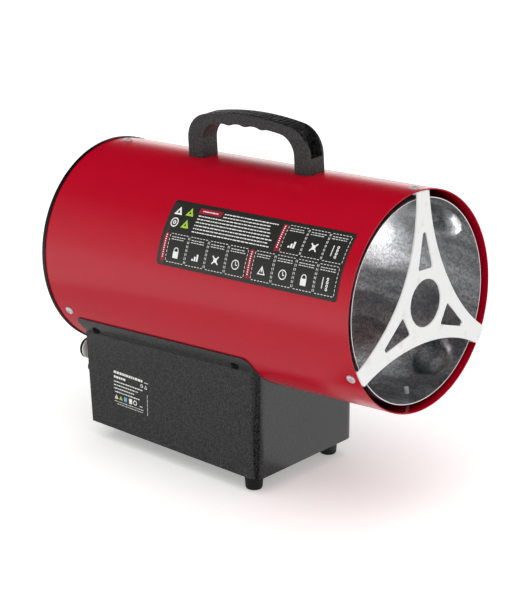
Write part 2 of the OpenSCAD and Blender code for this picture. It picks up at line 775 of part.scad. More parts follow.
// The +Y flange, with its free corners rounded
module flange() {
    difference() {
        arc_wall(flange_x0, flange_x1, flange_r, flange_r + base_wall, fold_turn, flange_turn);
        for (s = [-1, 1]) around(
            s < 0 ? flange_x0 + flange_round : flange_x1 - flange_round,
            180 - flange_turn + flange_round / flange_r * 180 / PI, 0
        ) difference() {
            translate([s < 0 ? -flange_round - 1 : 0, -flange_round - 3, 0])
                cube([flange_round + 1, flange_round + 3, casing_d]);
            cylinder(r = flange_round * 1.02, h = casing_d);
        }
        for (x = flange_screw_x) around(x, 180 - flange_screw_turn, 0)
            cylinder(r = screw_r + fit, h = casing_d);
    }
}

module base_shell() color([0.26, 0.26, 0.26]) standing() {
    difference() {
        union() {
            difference() {
                base_block(0, 0);
                base_block(base_wall, base_wall);
                // window inside the floor rim
                level() translate([-2 * base_back, -base_half + rim_w, base_z - 1])
                    cube([2 * base_back + base_front - rim_w, base_w - 2 * rim_w, 10]);
                translate([-4 * base_back - base_back, -base_w, 4 * base_z])
                    cube([4 * base_back, 2 * base_w, -8 * base_z]);
            }
            // inward rims that the rear panel lies on
            difference() {
                intersection() {
                    base_block(base_wall / 2, base_wall / 2);
                    translate([panel_x1, -base_w, 4 * base_z]) cube([base_wall, 2 * base_w, -8 * base_z]);
                }
                translate([panel_x1 - 1, -base_half + rear_rim_w, 4 * base_z])
                    cube([base_wall + 2, base_w - 2 * rear_rim_w, -8 * base_z]);
                along(panel_x1 - 1, valve_at[0], valve_at[1]) cylinder(r = valve_r + 1, h = base_wall + 2);
                along(panel_x1 - 1, gland_at[0], gland_at[1]) cylinder(r = gland_r + 2, h = base_wall + 2);
            }
        }
        along(-casing_len) cylinder(r = flange_r, h = 2 * casing_len);
        for (p = panel_screw_at) along(panel_x0 - 1, p[0], p[1]) cylinder(r = screw_r + fit, h = 4);
        level() for (p = foot_places) translate([p[0], p[1], base_z - 1]) cylinder(r = screw_r + fit, h = 4);
    }
    flange();
    mirror([0, 1, 0]) flange();
}

module base_floor() color([0.3, 0.3, 0.3]) standing() difference() {
    intersection() {
        base_block(base_wall + fit, base_wall);
        level() translate([-2 * base_back, -base_half, base_z + base_wall])
            cube([4 * base_back, base_w, base_wall]);
        translate([panel_x1 + base_wall + fit, -base_w, 4 * base_z])
            cube([4 * base_back, 2 * base_w, -8 * base_z]);
    }
    level() for (p = foot_places) translate([p[0], p[1], base_z]) cylinder(r = screw_r + fit, h = 4);
}

module rear_panel() color([0.22, 0.22, 0.22]) standing() difference() {
    intersection() {
        base_block(base_wall + fit, base_wall + fit);
        translate([panel_x0, -base_w, 4 * base_z]) cube([base_wall, 2 * base_w, -8 * base_z]);
    }
    along(-casing_len) cylinder(r = flange_r + fit, h = 2 * casing_len);
    for (p = panel_screw_at) along(panel_x0 - 1, p[0], p[1]) cylinder(r = screw_r + fit, h = 4);
    along(panel_x0 - 1, valve_at[0], valve_at[1]) cylinder(r = 6.1, h = 4);
    along(panel_x0 - 1, gland_at[0], gland_at[1]) cylinder(r = 4.6, h = 4);
    along(panel_x0 - 1, inlet_at[0], inlet_at[1]) cylinder(r = 6.6, h = 4);
    along(panel_x0 - 1, piezo_at[0], piezo_at[1]) cylinder(r = piezo_r + fit, h = 4);
    translate([panel_x0 - 1, switch_at[0] - switch_w / 2 - fit, switch_at[1] - switch_h / 2 - fit])
        cube([4, switch_w + 2 * fit, switch_h + 2 * fit]);
}

module panel_screws() color([0.1, 0.1, 0.1]) standing()
    for (p = panel_screw_at) along(panel_x0, p[0], p[1]) rotate([180, 0, 0]) pan_screw(5, screw_r, 3.6, 2);

module flange_screws() color([0.1, 0.1, 0.1]) standing()
    for (x = flange_screw_x, turn = [180 - flange_screw_turn, 180 + flange_screw_turn])
        around(x, turn, flange_r + base_wall) pan_screw(6);

module feet() color([0.07, 0.07, 0.07]) standing() level() for (p = foot_places)
    translate([p[0], p[1], base_z - foot_h]) difference() {
        rotate_extrude() polygon([
            [0, 0], [foot_r - 2.6, 0], [foot_r - 1.6, 0.5], [foot_r - 1, 1.6],
            [foot_r, foot_h - 4], [foot_r, foot_h], [0, foot_h]
        ]);
        translate([0, 0, -1]) cylinder(r = screw_r + fit, h = foot_h + 2);
        translate([0, 0, -1]) cylinder(r = head_r + run, h = 6);
    }

module foot_screws() color([0.7, 0.7, 0.7]) standing() level() for (p = foot_places)
    translate([p[0], p[1], base_z - foot_h + 5]) rotate([180, 0, 0])
        pan_screw(foot_h - 5 + 2 * base_wall + 4);

/* Gas, igniter and switch */

module gas_inlet() color([0.78, 0.6, 0.3]) standing() difference() {
    union() {
        along(panel_x0 - 3 - inlet_len, inlet_at[0], inlet_at[1]) cylinder(r = inlet_r, h = inlet_len);
        along(panel_x0 - 3, inlet_at[0], inlet_at[1]) cylinder(r = 19 / sqrt(3), h = 3, $fn = 6);
        along(panel_x0 - 1, inlet_at[0], inlet_at[1]) cylinder(r = 6.5, h = panel_x1 + 10 - panel_x0 + 1);
    }
    along(panel_x0 - 4 - inlet_len, inlet_at[0], inlet_at[1]) cylinder(r = 4, h = inlet_len);
    along(panel_x0 - 6, inlet_at[0], inlet_at[1]) cylinder(r = 2, h = 24);
}

module inlet_nut() color([0.78, 0.6, 0.3]) standing()
    along(panel_x1, inlet_at[0], inlet_at[1]) hex_nut(19, 5, 6.52);

module supply_pipe() color([0.72, 0.45, 0.3]) standing() bent_tube(supply_route, pipe_r, 7);

module burner_pipe() color([0.72, 0.45, 0.3]) standing() bent_tube(burner_route, pipe_r, pipe_bend);

module pipe_nuts() color([0.78, 0.6, 0.3]) standing() {
    for (x = port_x) translate([x, valve_at[0], valve_at[1] - port_len - nut_len])
        hex_nut(12, nut_len, pipe_r + fit);
    translate([riser_x, 0, -hex_flats - nut_len]) hex_nut(12, nut_len, pipe_r + fit);
}

module gas_valve() color([0.75, 0.58, 0.3]) standing() difference() {
    union() {
        along(panel_x1, valve_at[0], valve_at[1]) cylinder(r = valve_r, h = valve_len);
        along(panel_x0 - valve_nut_t, valve_at[0], valve_at[1]) cylinder(r = 6, h = valve_nut_t + 4);
        along(panel_x1 + valve_len - 1, valve_at[0], valve_at[1]) cylinder(r = 4, h = 5);
        for (x = port_x) translate([x, valve_at[0], valve_at[1] - port_len])
            cylinder(r = port_r, h = port_len);
    }
    along(panel_x0 - valve_nut_t - 1, valve_at[0], valve_at[1])
        cylinder(r = 3.5 + run, h = valve_nut_t + gas_travel + 14);
}

module valve_nut() color([0.85, 0.85, 0.85]) standing()
    along(panel_x0 - valve_nut_t + 0.4, valve_at[0], valve_at[1]) hex_nut(17, valve_nut_t - 0.4, 6.02);

module gas_button() color([0.06, 0.06, 0.06]) standing() {
    profile = [
        [0, 0], [button_r - 1.6, 0], [button_r - 0.5, 0.5], [button_r, 1.6],
        [button_r, button_t], [0, button_t]
    ];
    along(button_x1 - button_t, valve_at[0], valve_at[1]) rotate_extrude() polygon(profile);
    along(button_x1 - 1, valve_at[0], valve_at[1]) cylinder(r = 3.5, h = 13 + valve_nut_t);
}

module piezo_body() color([0.9, 0.9, 0.87]) standing() difference() {
    union() {
        along(panel_x0 - 2, piezo_at[0], piezo_at[1]) cylinder(r = piezo_r + 2.5, h = 2);
        along(panel_x0 - 1, piezo_at[0], piezo_at[1]) cylinder(r = piezo_r, h = piezo_len + base_wall + 1);
    }
    along(panel_x0 - 3, piezo_at[0], piezo_at[1]) cylinder(r = piezo_button_r + run, h = 22);
}

module piezo_nut() color([0.15, 0.15, 0.15]) standing()
    along(panel_x1, piezo_at[0], piezo_at[1]) hex_nut(20, 4, piezo_r + 0.02);

module piezo_button() color([0.6, 0.03, 0.05]) standing()
    along(panel_x0 - 2 - piezo_travel - 1, piezo_at[0], piezo_at[1]) rotate_extrude() polygon([
        [0, 0], [piezo_button_r - 1.2, 0], [piezo_button_r, 1.2], [piezo_button_r, 20], [0, 20]
    ]);

module switch_body() color([0.07, 0.07, 0.07]) standing() difference() {
    union() {
        translate([panel_x0 - 2, switch_at[0] - switch_w / 2 - 2, switch_at[1] - switch_h / 2 - 2])
            cube([2, switch_w + 4, switch_h + 4]);
        translate([panel_x0 - 1, switch_at[0] - switch_w / 2, switch_at[1] - switch_h / 2])
            cube([switch_depth + 1, switch_w, switch_h]);
    }
    translate([panel_x0 - 3, switch_at[0] - switch_w / 2 + 1.5, switch_at[1] - switch_h / 2 + 1.5])
        cube([11, switch_w - 3, switch_h - 3]);
    translate([panel_x0 + 1, switch_at[0], switch_at[1]])
        cylinder(r = rocker_pin_r + 0.05, h = switch_h - 1, center = true);
}

// The rocker turns on its own pins in the switch body's side walls
module switch_rocker() color([0.5, 0.02, 0.04]) standing()
    translate([panel_x0 + 1, switch_at[0], switch_at[1]]) rotate([0, 0, rocker_throw]) {
        translate([0, 0, -rocker_h / 2]) linear_extrude(rocker_h) polygon([
            [-3.6, -(switch_w / 2 - 3)], [-1.9, 0], [-3.6, switch_w / 2 - 3],
            [1.5, switch_w / 2 - 3.4], [4, 0], [1.5, -(switch_w / 2 - 3.4)]
        ]);
        cylinder(r = rocker_pin_r, h = switch_h - 1.4, center = true);
    }

module cable_gland() color([0.06, 0.06, 0.06]) standing() difference() {
    union() {
        along(panel_x0 - 5, gland_at[0], gland_at[1]) cylinder(r1 = gland_r - 1.2, r2 = gland_r, h = 5);
        along(panel_x0 - 1, gland_at[0], gland_at[1]) cylinder(r = 4.5, h = base_wall + 8);
    }
    along(panel_x0 - 6, gland_at[0], gland_at[1]) cylinder(r = gland_bore_r, h = 20);
}

module gland_nut() color([0.1, 0.1, 0.1]) standing()
    along(panel_x1, gland_at[0], gland_at[1]) hex_nut(11, 4, 4.52);

module terminal_block() color([0.9, 0.88, 0.8]) standing() level()
    translate([-70, 26, base_z + 2 * base_wall]) difference() {
        cube([44, 16, 13]);
        for (i = [0:4]) translate([4.5 + i * 8.8, 4.5, 6]) cylinder(r = 2, h = 8);
        for (i = [0:4]) translate([4.5 + i * 8.8, 11.5, 6]) cylinder(r = 2, h = 8);
    }

outer_casing();
casing_label();
combustion_chamber();
chamber_screw();
front_guard();
guard_screws();
rear_grille();
rear_screws();
handle();
handle_screws();
motor_can();
motor_front_cap();
motor_screws();
motor_stator();
motor_bushes();
motor_rotor();
motor_shaft();
fan_impeller();
fan_nut();
burner_bracket();
bracket_screws();
burner_cup();
flame_disc();
jet_holder();
jet_nut();
gas_jet();
thermocouple();
thermocouple_lead();
electrode_ceramic();
electrode_wire();
ignition_lead();
overheat_thermostat();
base_shell();
base_floor();
rear_panel();
panel_screws();
flange_screws();
feet();
foot_screws();
gas_inlet();
inlet_nut();
supply_pipe();
gas_valve();
valve_nut();
gas_button();
burner_pipe();
pipe_nuts();
piezo_body();
piezo_nut();
piezo_button();
switch_body();
switch_rocker();
cable_gland();
gland_nut();
terminal_block();
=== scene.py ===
"""Looks of a portable propane heater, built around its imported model.

The file is laid out as a Blender add-on and is run as a script. Most shapes are worked out in the casing's
axis frame, in millimetres: X runs along the casing towards the outlet, Y to the side, Z up, with the origin
at the casing's middle. place() takes points from there to the row frame in metres. A turn is an angle around
the casing, measured in degrees from the top towards the near side, which is -Y.
"""
import json

import bmesh
import bpy
import numpy as np
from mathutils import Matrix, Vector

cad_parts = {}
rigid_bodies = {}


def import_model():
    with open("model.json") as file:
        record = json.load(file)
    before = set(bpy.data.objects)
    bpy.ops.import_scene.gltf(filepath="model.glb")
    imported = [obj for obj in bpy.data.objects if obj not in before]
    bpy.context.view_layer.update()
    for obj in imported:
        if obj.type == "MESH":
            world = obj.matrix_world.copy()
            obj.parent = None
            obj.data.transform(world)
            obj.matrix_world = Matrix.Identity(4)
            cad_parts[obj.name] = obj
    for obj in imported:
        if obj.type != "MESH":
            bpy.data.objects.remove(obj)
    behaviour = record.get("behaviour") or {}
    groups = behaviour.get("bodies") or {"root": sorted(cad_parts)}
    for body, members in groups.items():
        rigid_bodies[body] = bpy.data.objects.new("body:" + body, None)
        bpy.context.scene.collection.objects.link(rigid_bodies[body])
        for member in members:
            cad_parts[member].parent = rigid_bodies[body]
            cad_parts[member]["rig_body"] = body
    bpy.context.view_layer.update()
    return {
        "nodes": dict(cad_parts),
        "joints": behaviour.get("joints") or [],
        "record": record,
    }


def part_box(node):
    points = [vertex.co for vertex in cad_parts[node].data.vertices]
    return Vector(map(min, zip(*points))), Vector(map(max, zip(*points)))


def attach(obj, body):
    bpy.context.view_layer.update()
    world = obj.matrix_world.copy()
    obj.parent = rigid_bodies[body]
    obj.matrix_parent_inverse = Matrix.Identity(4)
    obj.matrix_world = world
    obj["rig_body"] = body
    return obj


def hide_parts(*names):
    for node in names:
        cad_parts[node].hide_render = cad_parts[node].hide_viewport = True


bl_info = {
    "name": "Portable Propane Heater",
    "version": (1, 0, 0),
    "blender": (4, 5, 0),
    "location": "View3D > Sidebar > Heater",
    "description": "Builds the casing, base, burner and controls of a portable propane heater",
    "category": "Add Mesh",
}

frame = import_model()

MM = 0.001

# -------- places from the frame

fan_joint = next(joint for joint in frame["joints"] if joint["name"] == "fan_spin")
ahead = np.array(fan_joint["axis"], float)
ahead /= np.linalg.norm(ahead)
side = np.array([0.0, 1.0, 0.0])
over = np.cross(ahead, side)
AXES = np.array([ahead, side, over])


def node_points(node):
    """The vertices of a CAD node, in metres in the row frame, one row each."""
    mesh = frame["nodes"][node].data
    points = np.empty(3 * len(mesh.vertices))
    mesh.vertices.foreach_get("co", points)
    return points.reshape(-1, 3)


along_casing = (node_points("outer_casing") - fan_joint["pos_m"]) @ ahead
ORIGIN = np.array(fan_joint["pos_m"]) + ahead * (along_casing.min() + along_casing.max()) / 2


def place(points):
    """Axis frame in mm to row frame in metres: the origin plus x, y and z times the frame's directions."""
    return ORIGIN + np.asarray(points, float) * MM @ AXES


def on_casing(x, turn, radius):
    """Points at a distance along the casing, a turn in degrees and a radius, in the row frame in metres."""
    x, swing = np.broadcast_arrays(x, np.radians(turn))
    return place(np.stack([x, -radius * np.sin(swing), radius * np.cos(swing)], axis=-1))


def arc(centre, radius, start, end, count):
    """Points on a circle between two angles in degrees: centre plus radius times cosine and sine."""
    swing = np.radians(np.linspace(start, end, count))
    return np.asarray(centre) + radius * np.stack([np.cos(swing), np.sin(swing)], axis=-1)


def axis_points(node):
    """A CAD node's vertices in the axis frame, in millimetres."""
    return (node_points(node) - ORIGIN) @ AXES.T / MM


def axis_box(node):
    """Lowest and highest corner of a CAD node in the axis frame, in millimetres."""
    points = axis_points(node)
    return points.min(axis=0), points.max(axis=0)


def radii(node):
    """Smallest and largest distance of a CAD node's vertices from the casing's axis, in millimetres."""
    reach = np.hypot(*axis_points(node)[:, 1:].T)
    return reach.min(), reach.max()


CASING_IN_R, CASING_R = radii("outer_casing")
BACK_X, FRONT_X = (corner[0] for corner in axis_box("outer_casing"))
CHAMBER_IN_R = radii("combustion_chamber")[0]
CHAMBER_X0, CHAMBER_X1 = (corner[0] for corner in axis_box("combustion_chamber"))
LABEL_X0, LABEL_X1 = (corner[0] for corner in axis_box("casing_label"))
LABEL_R = radii("casing_label")[1]
DEGREE = np.radians(LABEL_R)    # mm along the label for each degree of turn
BASE_LOW, BASE_HIGH = (np.array(corner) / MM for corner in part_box("base_shell"))
shell_points = node_points("base_shell") / MM
plain_wall = shell_points[:, 2] < BASE_LOW[2] + 20    # mm, well below the flanges
BASE_SIDE_Y = shell_points[plain_wall, 1].min()
SHARP = 35    # degrees: a sharper edge is a real one, and a flatter one a facet of a curve

# -------- what a user would change


def linear(code):
    """sRGB hex colour to linear RGBA: each channel c becomes c / 12.92, or ((c + 0.055) / 1.055) ** 2.4."""
    channels = [int(code[i:i + 2], 16) / 255 for i in (1, 3, 5)]
    return [c / 12.92 if c <= 0.04045 else ((c + 0.055) / 1.055) ** 2.4 for c in channels] + [1.0]


def colour_property(name, description, code):
    """Colour that a user may change, from its sRGB hex value."""
    return bpy.props.FloatVectorProperty(
        name=name, description=description, subtype="COLOR", size=4, min=0, max=1, default=linear(code)
    )


def length_property(name, description, millimetres):
    """Length that a user may change, kept in metres."""
    return bpy.props.FloatProperty(
        name=name, description=description, default=millimetres * MM, min=0, unit="LENGTH", precision=4
    )


class HeaterColours(bpy.types.PropertyGroup):
    """Colours of the painted, moulded and printed surfaces"""

    casing: colour_property("Casing", "Stoving enamel of the casing", "#B80021")
    base: colour_property("Base", "Textured powder coat of the base", "#252525")
    handle: colour_property("Handle", "Moulded plastic of the handle", "#242424")
    guard: colour_property("Guard", "Heat-resistant paint of the front guard", "#EEEEED")
    label: colour_property("Label", "Ground of the casing's label", "#2A2A27")
    print_light: colour_property("Light print", "Bars, borders and symbols on the label", "#F2F2EE")
    print_red: colour_property("Red print", "Tabs on the label", "#9E0A2C")
    print_green: colour_property("Green print", "Two of the label's symbols", "#A9CF3A")
    print_blue: colour_property("Blue print", "One sign on the base", "#6FB3C9")


class HeaterSizes(bpy.types.PropertyGroup):
    """Sizes of the details that the pieces add to the CAD nodes"""

    edge: length_property("Edge", "Rounding of a machined or cut edge", 0.2)
    grip_thickness: length_property("Grip thickness", "Thickness of the handle's grip", 10)
    leg_thickness: length_property("Leg thickness", "Thickness of each handle leg, along the handle", 18)
    rib_pitch: length_property("Rib pitch", "Spacing of the ribs along the top of the grip", 5.6)
    rib_height: length_property("Rib height", "Height of the ribs along the top of the grip", 0.7)
    spangle: length_property("Spangle", "Width of a zinc crystal on the chamber", 1.6)
    thread_pitch: length_property("Thread pitch", "Pitch of the gas inlet's thread", 1.4)


def sizes():
    return bpy.context.scene.heater_sizes


def colours():
    return bpy.context.scene.heater_colours


# -------- making meshes


def linked(name, data):
    """A new object in the scene for a mesh, a camera or a light."""
    item = bpy.data.objects.new(name, data)
    bpy.context.scene.collection.objects.link(item)
    return item


def slot_of(node):
    """The material slot that the record gives a CAD node."""
    return next(part["material_slot"] for part in frame["record"]["subparts"] if part["node"] == node)


def shown(name, mesh, material, node, body):
    """Shows a mesh as a piece that rides on a body, and that stands for a CAD node if one is given."""
    mesh.materials.append(material)
    piece = linked(name, mesh)
    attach(piece, body)
    if node:
        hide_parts(node)
    return piece


def new_piece(name, points, faces, material, node=None, body="housing"):
    """Makes a piece of points in metres and the faces between them."""
    mesh = bpy.data.meshes.new(name)
    mesh.from_pydata(np.reshape(points, (-1, 3)).tolist(), [], np.asarray(faces).tolist())
    mesh.validate()
    mesh.shade_smooth()
    return shown(name, mesh, material, node, body)


def grid_faces(rows, columns, close_rows=False, close_columns=False, keep=None):
    """Quads that join neighbouring points of a rows x columns grid, all turned the same way."""
    row, column = np.meshgrid(
        np.arange(rows if close_rows else rows - 1), np.arange(columns if close_columns else columns - 1),
        indexing="ij",
    )
    next_row, next_column = (row + 1) % rows, (column + 1) % columns
    quads = np.stack(
        [row * columns + column, row * columns + next_column,
         next_row * columns + next_column, next_row * columns + column], axis=-1,
    )
    return quads[keep] if keep is not None else quads.reshape(-1, 4)


def tidy(piece, edge_angle=40, turn_outwards=True, close_ends=False):
    """Closes open ends, merges doubled points, turns faces outwards and marks edges sharper than an angle."""
    form = bmesh.new()
    form.from_mesh(piece.data)
    if close_ends:
        bmesh.ops.holes_fill(form, edges=form.edges, sides=0)
    bmesh.ops.remove_doubles(form, verts=form.verts, dist=0.0005 * MM)
    if turn_outwards:
        bmesh.ops.recalc_face_normals(form, faces=form.faces)
    form.to_mesh(piece.data)
    form.free()
    piece.data.set_sharp_from_angle(angle=np.radians(edge_angle))
    return piece


def modifier(piece, kind, **settings):
    """Adds one modifier to a piece with its settings."""
    item = piece.modifiers.new(kind.title(), kind)
    for key, value in settings.items():
        setattr(item, key, value)


def rounded_edges(piece, width, angle=SHARP, clamped=False):
    """Rounds every edge sharper than an angle, as a press tool, a mould or a file leaves it."""
    modifier(
        piece, "BEVEL", width=width, segments=2, limit_method="ANGLE", angle_limit=np.radians(angle),
        harden_normals=True, use_clamp_overlap=clamped,
    )


def copied(node, material):
    """A copy of a CAD node that stands for it: doubles merged, flat facets joined, sharp edges rounded."""
    source = frame["nodes"][node]
    form = bmesh.new()
    form.from_mesh(source.data)
    bmesh.ops.remove_doubles(form, verts=form.verts, dist=0.002 * MM)
    bmesh.ops.dissolve_limit(
        form, angle_limit=np.radians(0.6), verts=form.verts, edges=form.edges, use_dissolve_boundaries=False
    )
    mesh = bpy.data.meshes.new(node + "_finished")
    form.to_mesh(mesh)
    form.free()
    mesh.shade_smooth()
    mesh.set_sharp_from_angle(angle=np.radians(SHARP))
    piece = shown(node + "_finished", mesh, material, node, source["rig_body"])
    rounded_edges(piece, sizes().edge)


# -------- making materials


def add(material, kind, inputs=None, stops=(), **settings):
    """Adds a node: settings are its properties, inputs fill or link its sockets, and stops fill its ramp."""
    item = material.node_tree.nodes.new("ShaderNode" + kind)
    for key, value in settings.items():
        setattr(item, key, value)
    for key, value in (inputs or {}).items():
        if isinstance(value, bpy.types.NodeSocket):
            material.node_tree.links.new(value, item.inputs[key])
        else:
            item.inputs[key].default_value = value
    if stops:
        elements = item.color_ramp.elements
        while len(elements) < len(stops):
            elements.new(1.0)
        for element, (position, colour) in zip(elements, stops):
            element.position = position
            element.color = colour
    return item


def new_material(name):
    """The material of that name, made once and emptied of its nodes."""
    material = bpy.data.materials.get(name) or bpy.data.materials.new(name)
    material.use_nodes = True
    material.node_tree.nodes.clear()
    return material


def finished(material, relief=None, **inputs):
    """Adds the shader and the output; an underscore in an input's name stands for a space.

    A relief is a pattern of heights, the strength with which it shows and its depth in mm.
    """
    named = {key.replace("_", " "): value for key, value in inputs.items()}
    if relief:
        height, strength, depth = relief
        bump = add(material, "Bump", {"Height": height, "Strength": strength, "Distance": depth * MM})
        named["Normal"] = bump.outputs["Normal"]
    shader = add(material, "BsdfPrincipled", named)
    add(material, "OutputMaterial", {"Surface": shader.outputs[0]})
    return material


def per(millimetres):
    """Texture scale at which one cell of a pattern is this wide, on Object coordinates in metres."""
    return 1 / (millimetres * MM)


def shade(colour, factor):
    """The same linear colour, lighter or darker."""
    return [min(1.0, c * factor) for c in colour[:3]] + [1.0]


def grain(material, width, detail=3.0):
    """Soft cells of noise, width mm wide, on the piece's own coordinates: a value that lies around 0.5."""
    place_on = add(material, "TexCoord").outputs["Object"]
    cells = add(material, "TexNoise", {"Vector": place_on, "Scale": per(width), "Detail": detail})
    return cells.outputs["Fac"]


def mottled(material, colour, cells, spread, softness=0.2):
    """A colour that is darker by a share of itself where cells lie under 0.5, and lighter over it."""
    stops = (0.5 - softness, shade(colour, 1 - spread)), (0.5 + softness, shade(colour, 1 + spread))
    return add(material, "ValToRGB", {"Fac": cells}, stops).outputs["Color"]


def grained(name, colour, width, spread, bump, depth, detail=3.0, softness=0.2, **finish):
    """Surface whose colour and relief follow one grain: width and depth in mm, bump the relief's strength."""
    material = new_material(name)
    cells = grain(material, width, detail)
    tint = mottled(material, colour, cells, spread, softness)
    return finished(material, (cells, bump, depth), Base_Color=tint, **finish)


def stoving_enamel(name, colour):
    """Gloss stoving enamel on sheet steel: a deep even colour and a soft mirror with a faint orange peel."""
    material = new_material(name)
    tint = mottled(material, colour, grain(material, 40), 0.02)
    peel = grain(material, 2.5, 1.0), 0.15, 0.08
    return finished(material, peel, Base_Color=tint, Roughness=0.24, IOR=1.5)


def powder_coat(name, colour, roughness=0.24, ior=1.66):
    """Textured powder coat, its wrinkles drawn coarse enough to show: a speckled black with a soft sheen."""
    return grained(
        name, colour, width=1.4, spread=0.75, bump=0.08, depth=0.1, detail=2.0, softness=0.12,
        Roughness=roughness, IOR=ior,
    )


def moulded_plastic(name, colour, width=1.7, depth=0.6, roughness=0.4):
    """Moulded plastic with a spark-eroded grain, drawn coarse enough to show: matt, with pin-point glints."""
    return grained(
        name, colour, width, spread=0.9, bump=0.9, depth=depth, detail=4.0, softness=0.07,
        Roughness=roughness, IOR=1.5,
    )


def rubber(name, colour):
    """Moulded rubber: very dark and matt, with a fine bloom."""
    return grained(name, colour, width=2.5, spread=0.3, bump=0.3, depth=0.08, Roughness=0.55, IOR=1.5)


def vinyl(name, colour):
    """Vinyl sticker: smooth and satin, with the faintest ripple over the sheet under it."""
    return grained(name, colour, width=9, spread=0.05, bump=0.1, depth=0.2, Roughness=0.38, IOR=1.5)


def metal(name, colour, roughness=0.3, width=1.0, depth=0.02, spread=0.12, metallic=1.0):
    """Bare or plated metal: bright, with a fine cast, turned or rolled grain and slight dulling in clouds."""
    material = new_material(name)
    cells, clouds = grain(material, width), grain(material, 12)
    dulling = add(
        material, "MapRange", {"Value": clouds, "To Min": roughness * 0.8, "To Max": roughness * 1.3}
    ).outputs["Result"]
    tint = mottled(material, colour, cells, spread)
    return finished(material, (cells, 0.4, depth), Base_Color=tint, Metallic=metallic, Roughness=dulling)


def galvanised(name):
    """Galvanised sheet: fine zinc crystals as speckle, over soft streaks that run the way it was rolled.

    The zinc's etched skin scatters much of its light, so it is less than fully metallic.
    """
    material = new_material(name)
    place_on = add(material, "TexCoord").outputs["Object"]
    drawn_out = add(material, "Mapping", {"Vector": place_on, "Scale": (0.3, 1.0, 1.0)})
    streaks = add(
        material, "TexNoise",
        {"Vector": drawn_out.outputs[0], "Scale": per(26), "Detail": 3.0, "Distortion": 0.6},
    ).outputs["Fac"]
    crystals = add(material, "TexVoronoi", {"Vector": place_on, "Scale": 1 / sizes().spangle})
    lightness = add(material, "SeparateColor", {"Color": crystals.outputs["Color"]})
    zinc = (0.36, linear("#626466")), (0.62, linear("#ABADAF"))
    ground = add(material, "ValToRGB", {"Fac": streaks}, zinc).outputs["Color"]
    glint = (0.0, linear("#B0B1B2")), (1.0, linear("#FFFFFF"))
    speckle = add(material, "ValToRGB", {"Fac": lightness.outputs["Red"]}, glint).outputs["Color"]
    tint = add(    # its sockets 6, 7 and 2 are the ones for colours
        material, "Mix", {"Factor": 1.0, 6: ground, 7: speckle}, data_type="RGBA", blend_type="MULTIPLY"
    ).outputs[2]
    gloss = add(
        material, "MapRange", {"Value": lightness.outputs["Green"], "To Min": 0.3, "To Max": 0.55}
    ).outputs["Result"]
    return finished(material, (streaks, 0.3, 1.0), Base_Color=tint, Metallic=0.78, Roughness=gloss)


def heat_paint(name, colour):
    """Heat-resistant light paint with faint grey smudges left by handling."""
    material = new_material(name)
    smudges = (0.3, shade(colour, 0.9)), (0.42, colour)
    tint = add(material, "ValToRGB", {"Fac": grain(material, 14, 5.0)}, smudges).outputs["Color"]
    return finished(
        material, (grain(material, 1.5, 2.0), 0.3, 0.05), Base_Color=tint, Roughness=0.42, IOR=1.5
    )


def glazed_ceramic(name, colour):
    """Glazed white ceramic: smooth, slightly creamy, with a clear glaze."""
    material = new_material(name)
    tint = mottled(material, colour, grain(material, 3), 0.04)
    return finished(material, Base_Color=tint, Roughness=0.3, IOR=1.5, Coat_Weight=0.6, Coat_Roughness=0.08)


def print_ink(name):
    """Screen-printed ink of one colour of print: flat, and slightly uneven where the mesh left less of it."""
    material = new_material(name + "_ink")
    tint = mottled(material, getattr(colours(), "print_" + name), grain(material, 0.8), 0.08)
    return finished(material, Base_Color=tint, Roughness=0.5, IOR=1.5)


# -------- casing


def build_casing():
    """Tube of sheet: radius constant over x and turn, with the opening over the base left out of the grid."""
    slot_half, slot_ends = 22.0, (-94.0, -58.0)    # mm, the opening's half width and its ends along X
    slot_turn = np.degrees(np.arcsin(slot_half / CASING_R))
    turns = np.sort(np.append(np.arange(0, 360, 2.0), [180 - slot_turn, 180 + slot_turn]))
    xs = np.unique(np.concatenate([np.linspace(BACK_X, FRONT_X, 40), slot_ends]))
    sheet = on_casing(xs[:, None], turns, CASING_R)
    middle_x = (xs[:-1] + xs[1:]) / 2
    middle_turn = (turns + np.append(turns[1:], turns[0] + 360)) / 2
    open_x = (middle_x > slot_ends[0]) & (middle_x < slot_ends[1])
    open_turn = np.abs(middle_turn - 180) < slot_turn
    faces = grid_faces(len(xs), len(turns), close_columns=True, keep=~(open_x[:, None] & open_turn))
    enamel = stoving_enamel("gloss_red_enamel", colours().casing)
    piece = tidy(new_piece("casing_tube", sheet, faces, enamel, node="outer_casing"))
    modifier(piece, "SOLIDIFY", thickness=(CASING_R - CASING_IN_R) * MM, offset=-1, use_even_offset=True)
    rounded_edges(piece, 0.3 * MM)


# -------- label


def label_turns():
    """The turns of the label's upper and lower edge, from its node."""
    points = axis_points("casing_label")
    turns = np.degrees(np.arctan2(-points[:, 1], points[:, 2]))
    return turns.min(), turns.max()


def build_label_sheet(material):
    """Rounded rectangle bent round the casing: each row of constant turn ends where a corner's circle is."""
    top, bottom = label_turns()
    corner, under = 3.0, CASING_R + 0.05    # mm: the corners' radius, and the sheet's inner face
    height = (bottom - top) * DEGREE
    nearness = np.concatenate([np.linspace(0, corner, 7), np.linspace(corner, height / 2, 6)[1:]])
    rows = np.concatenate([nearness, height - nearness[-2::-1]])
    gap = np.clip(corner - np.minimum(rows, rows[::-1]), 0, corner)
    inset = corner - np.sqrt(corner ** 2 - gap ** 2)
    across = np.linspace(0, 1, 24)
    x = (LABEL_X0 + inset)[:, None] + across * (LABEL_X1 - LABEL_X0 - 2 * inset)[:, None]
    sheet = on_casing(x, (top + rows / DEGREE)[:, None], under)
    faces = grid_faces(*sheet.shape[:2])
    piece = tidy(new_piece("label_sheet", sheet, faces, material, node="casing_label"))
    modifier(piece, "SOLIDIFY", thickness=(LABEL_R - under) * MM, offset=outward(piece))


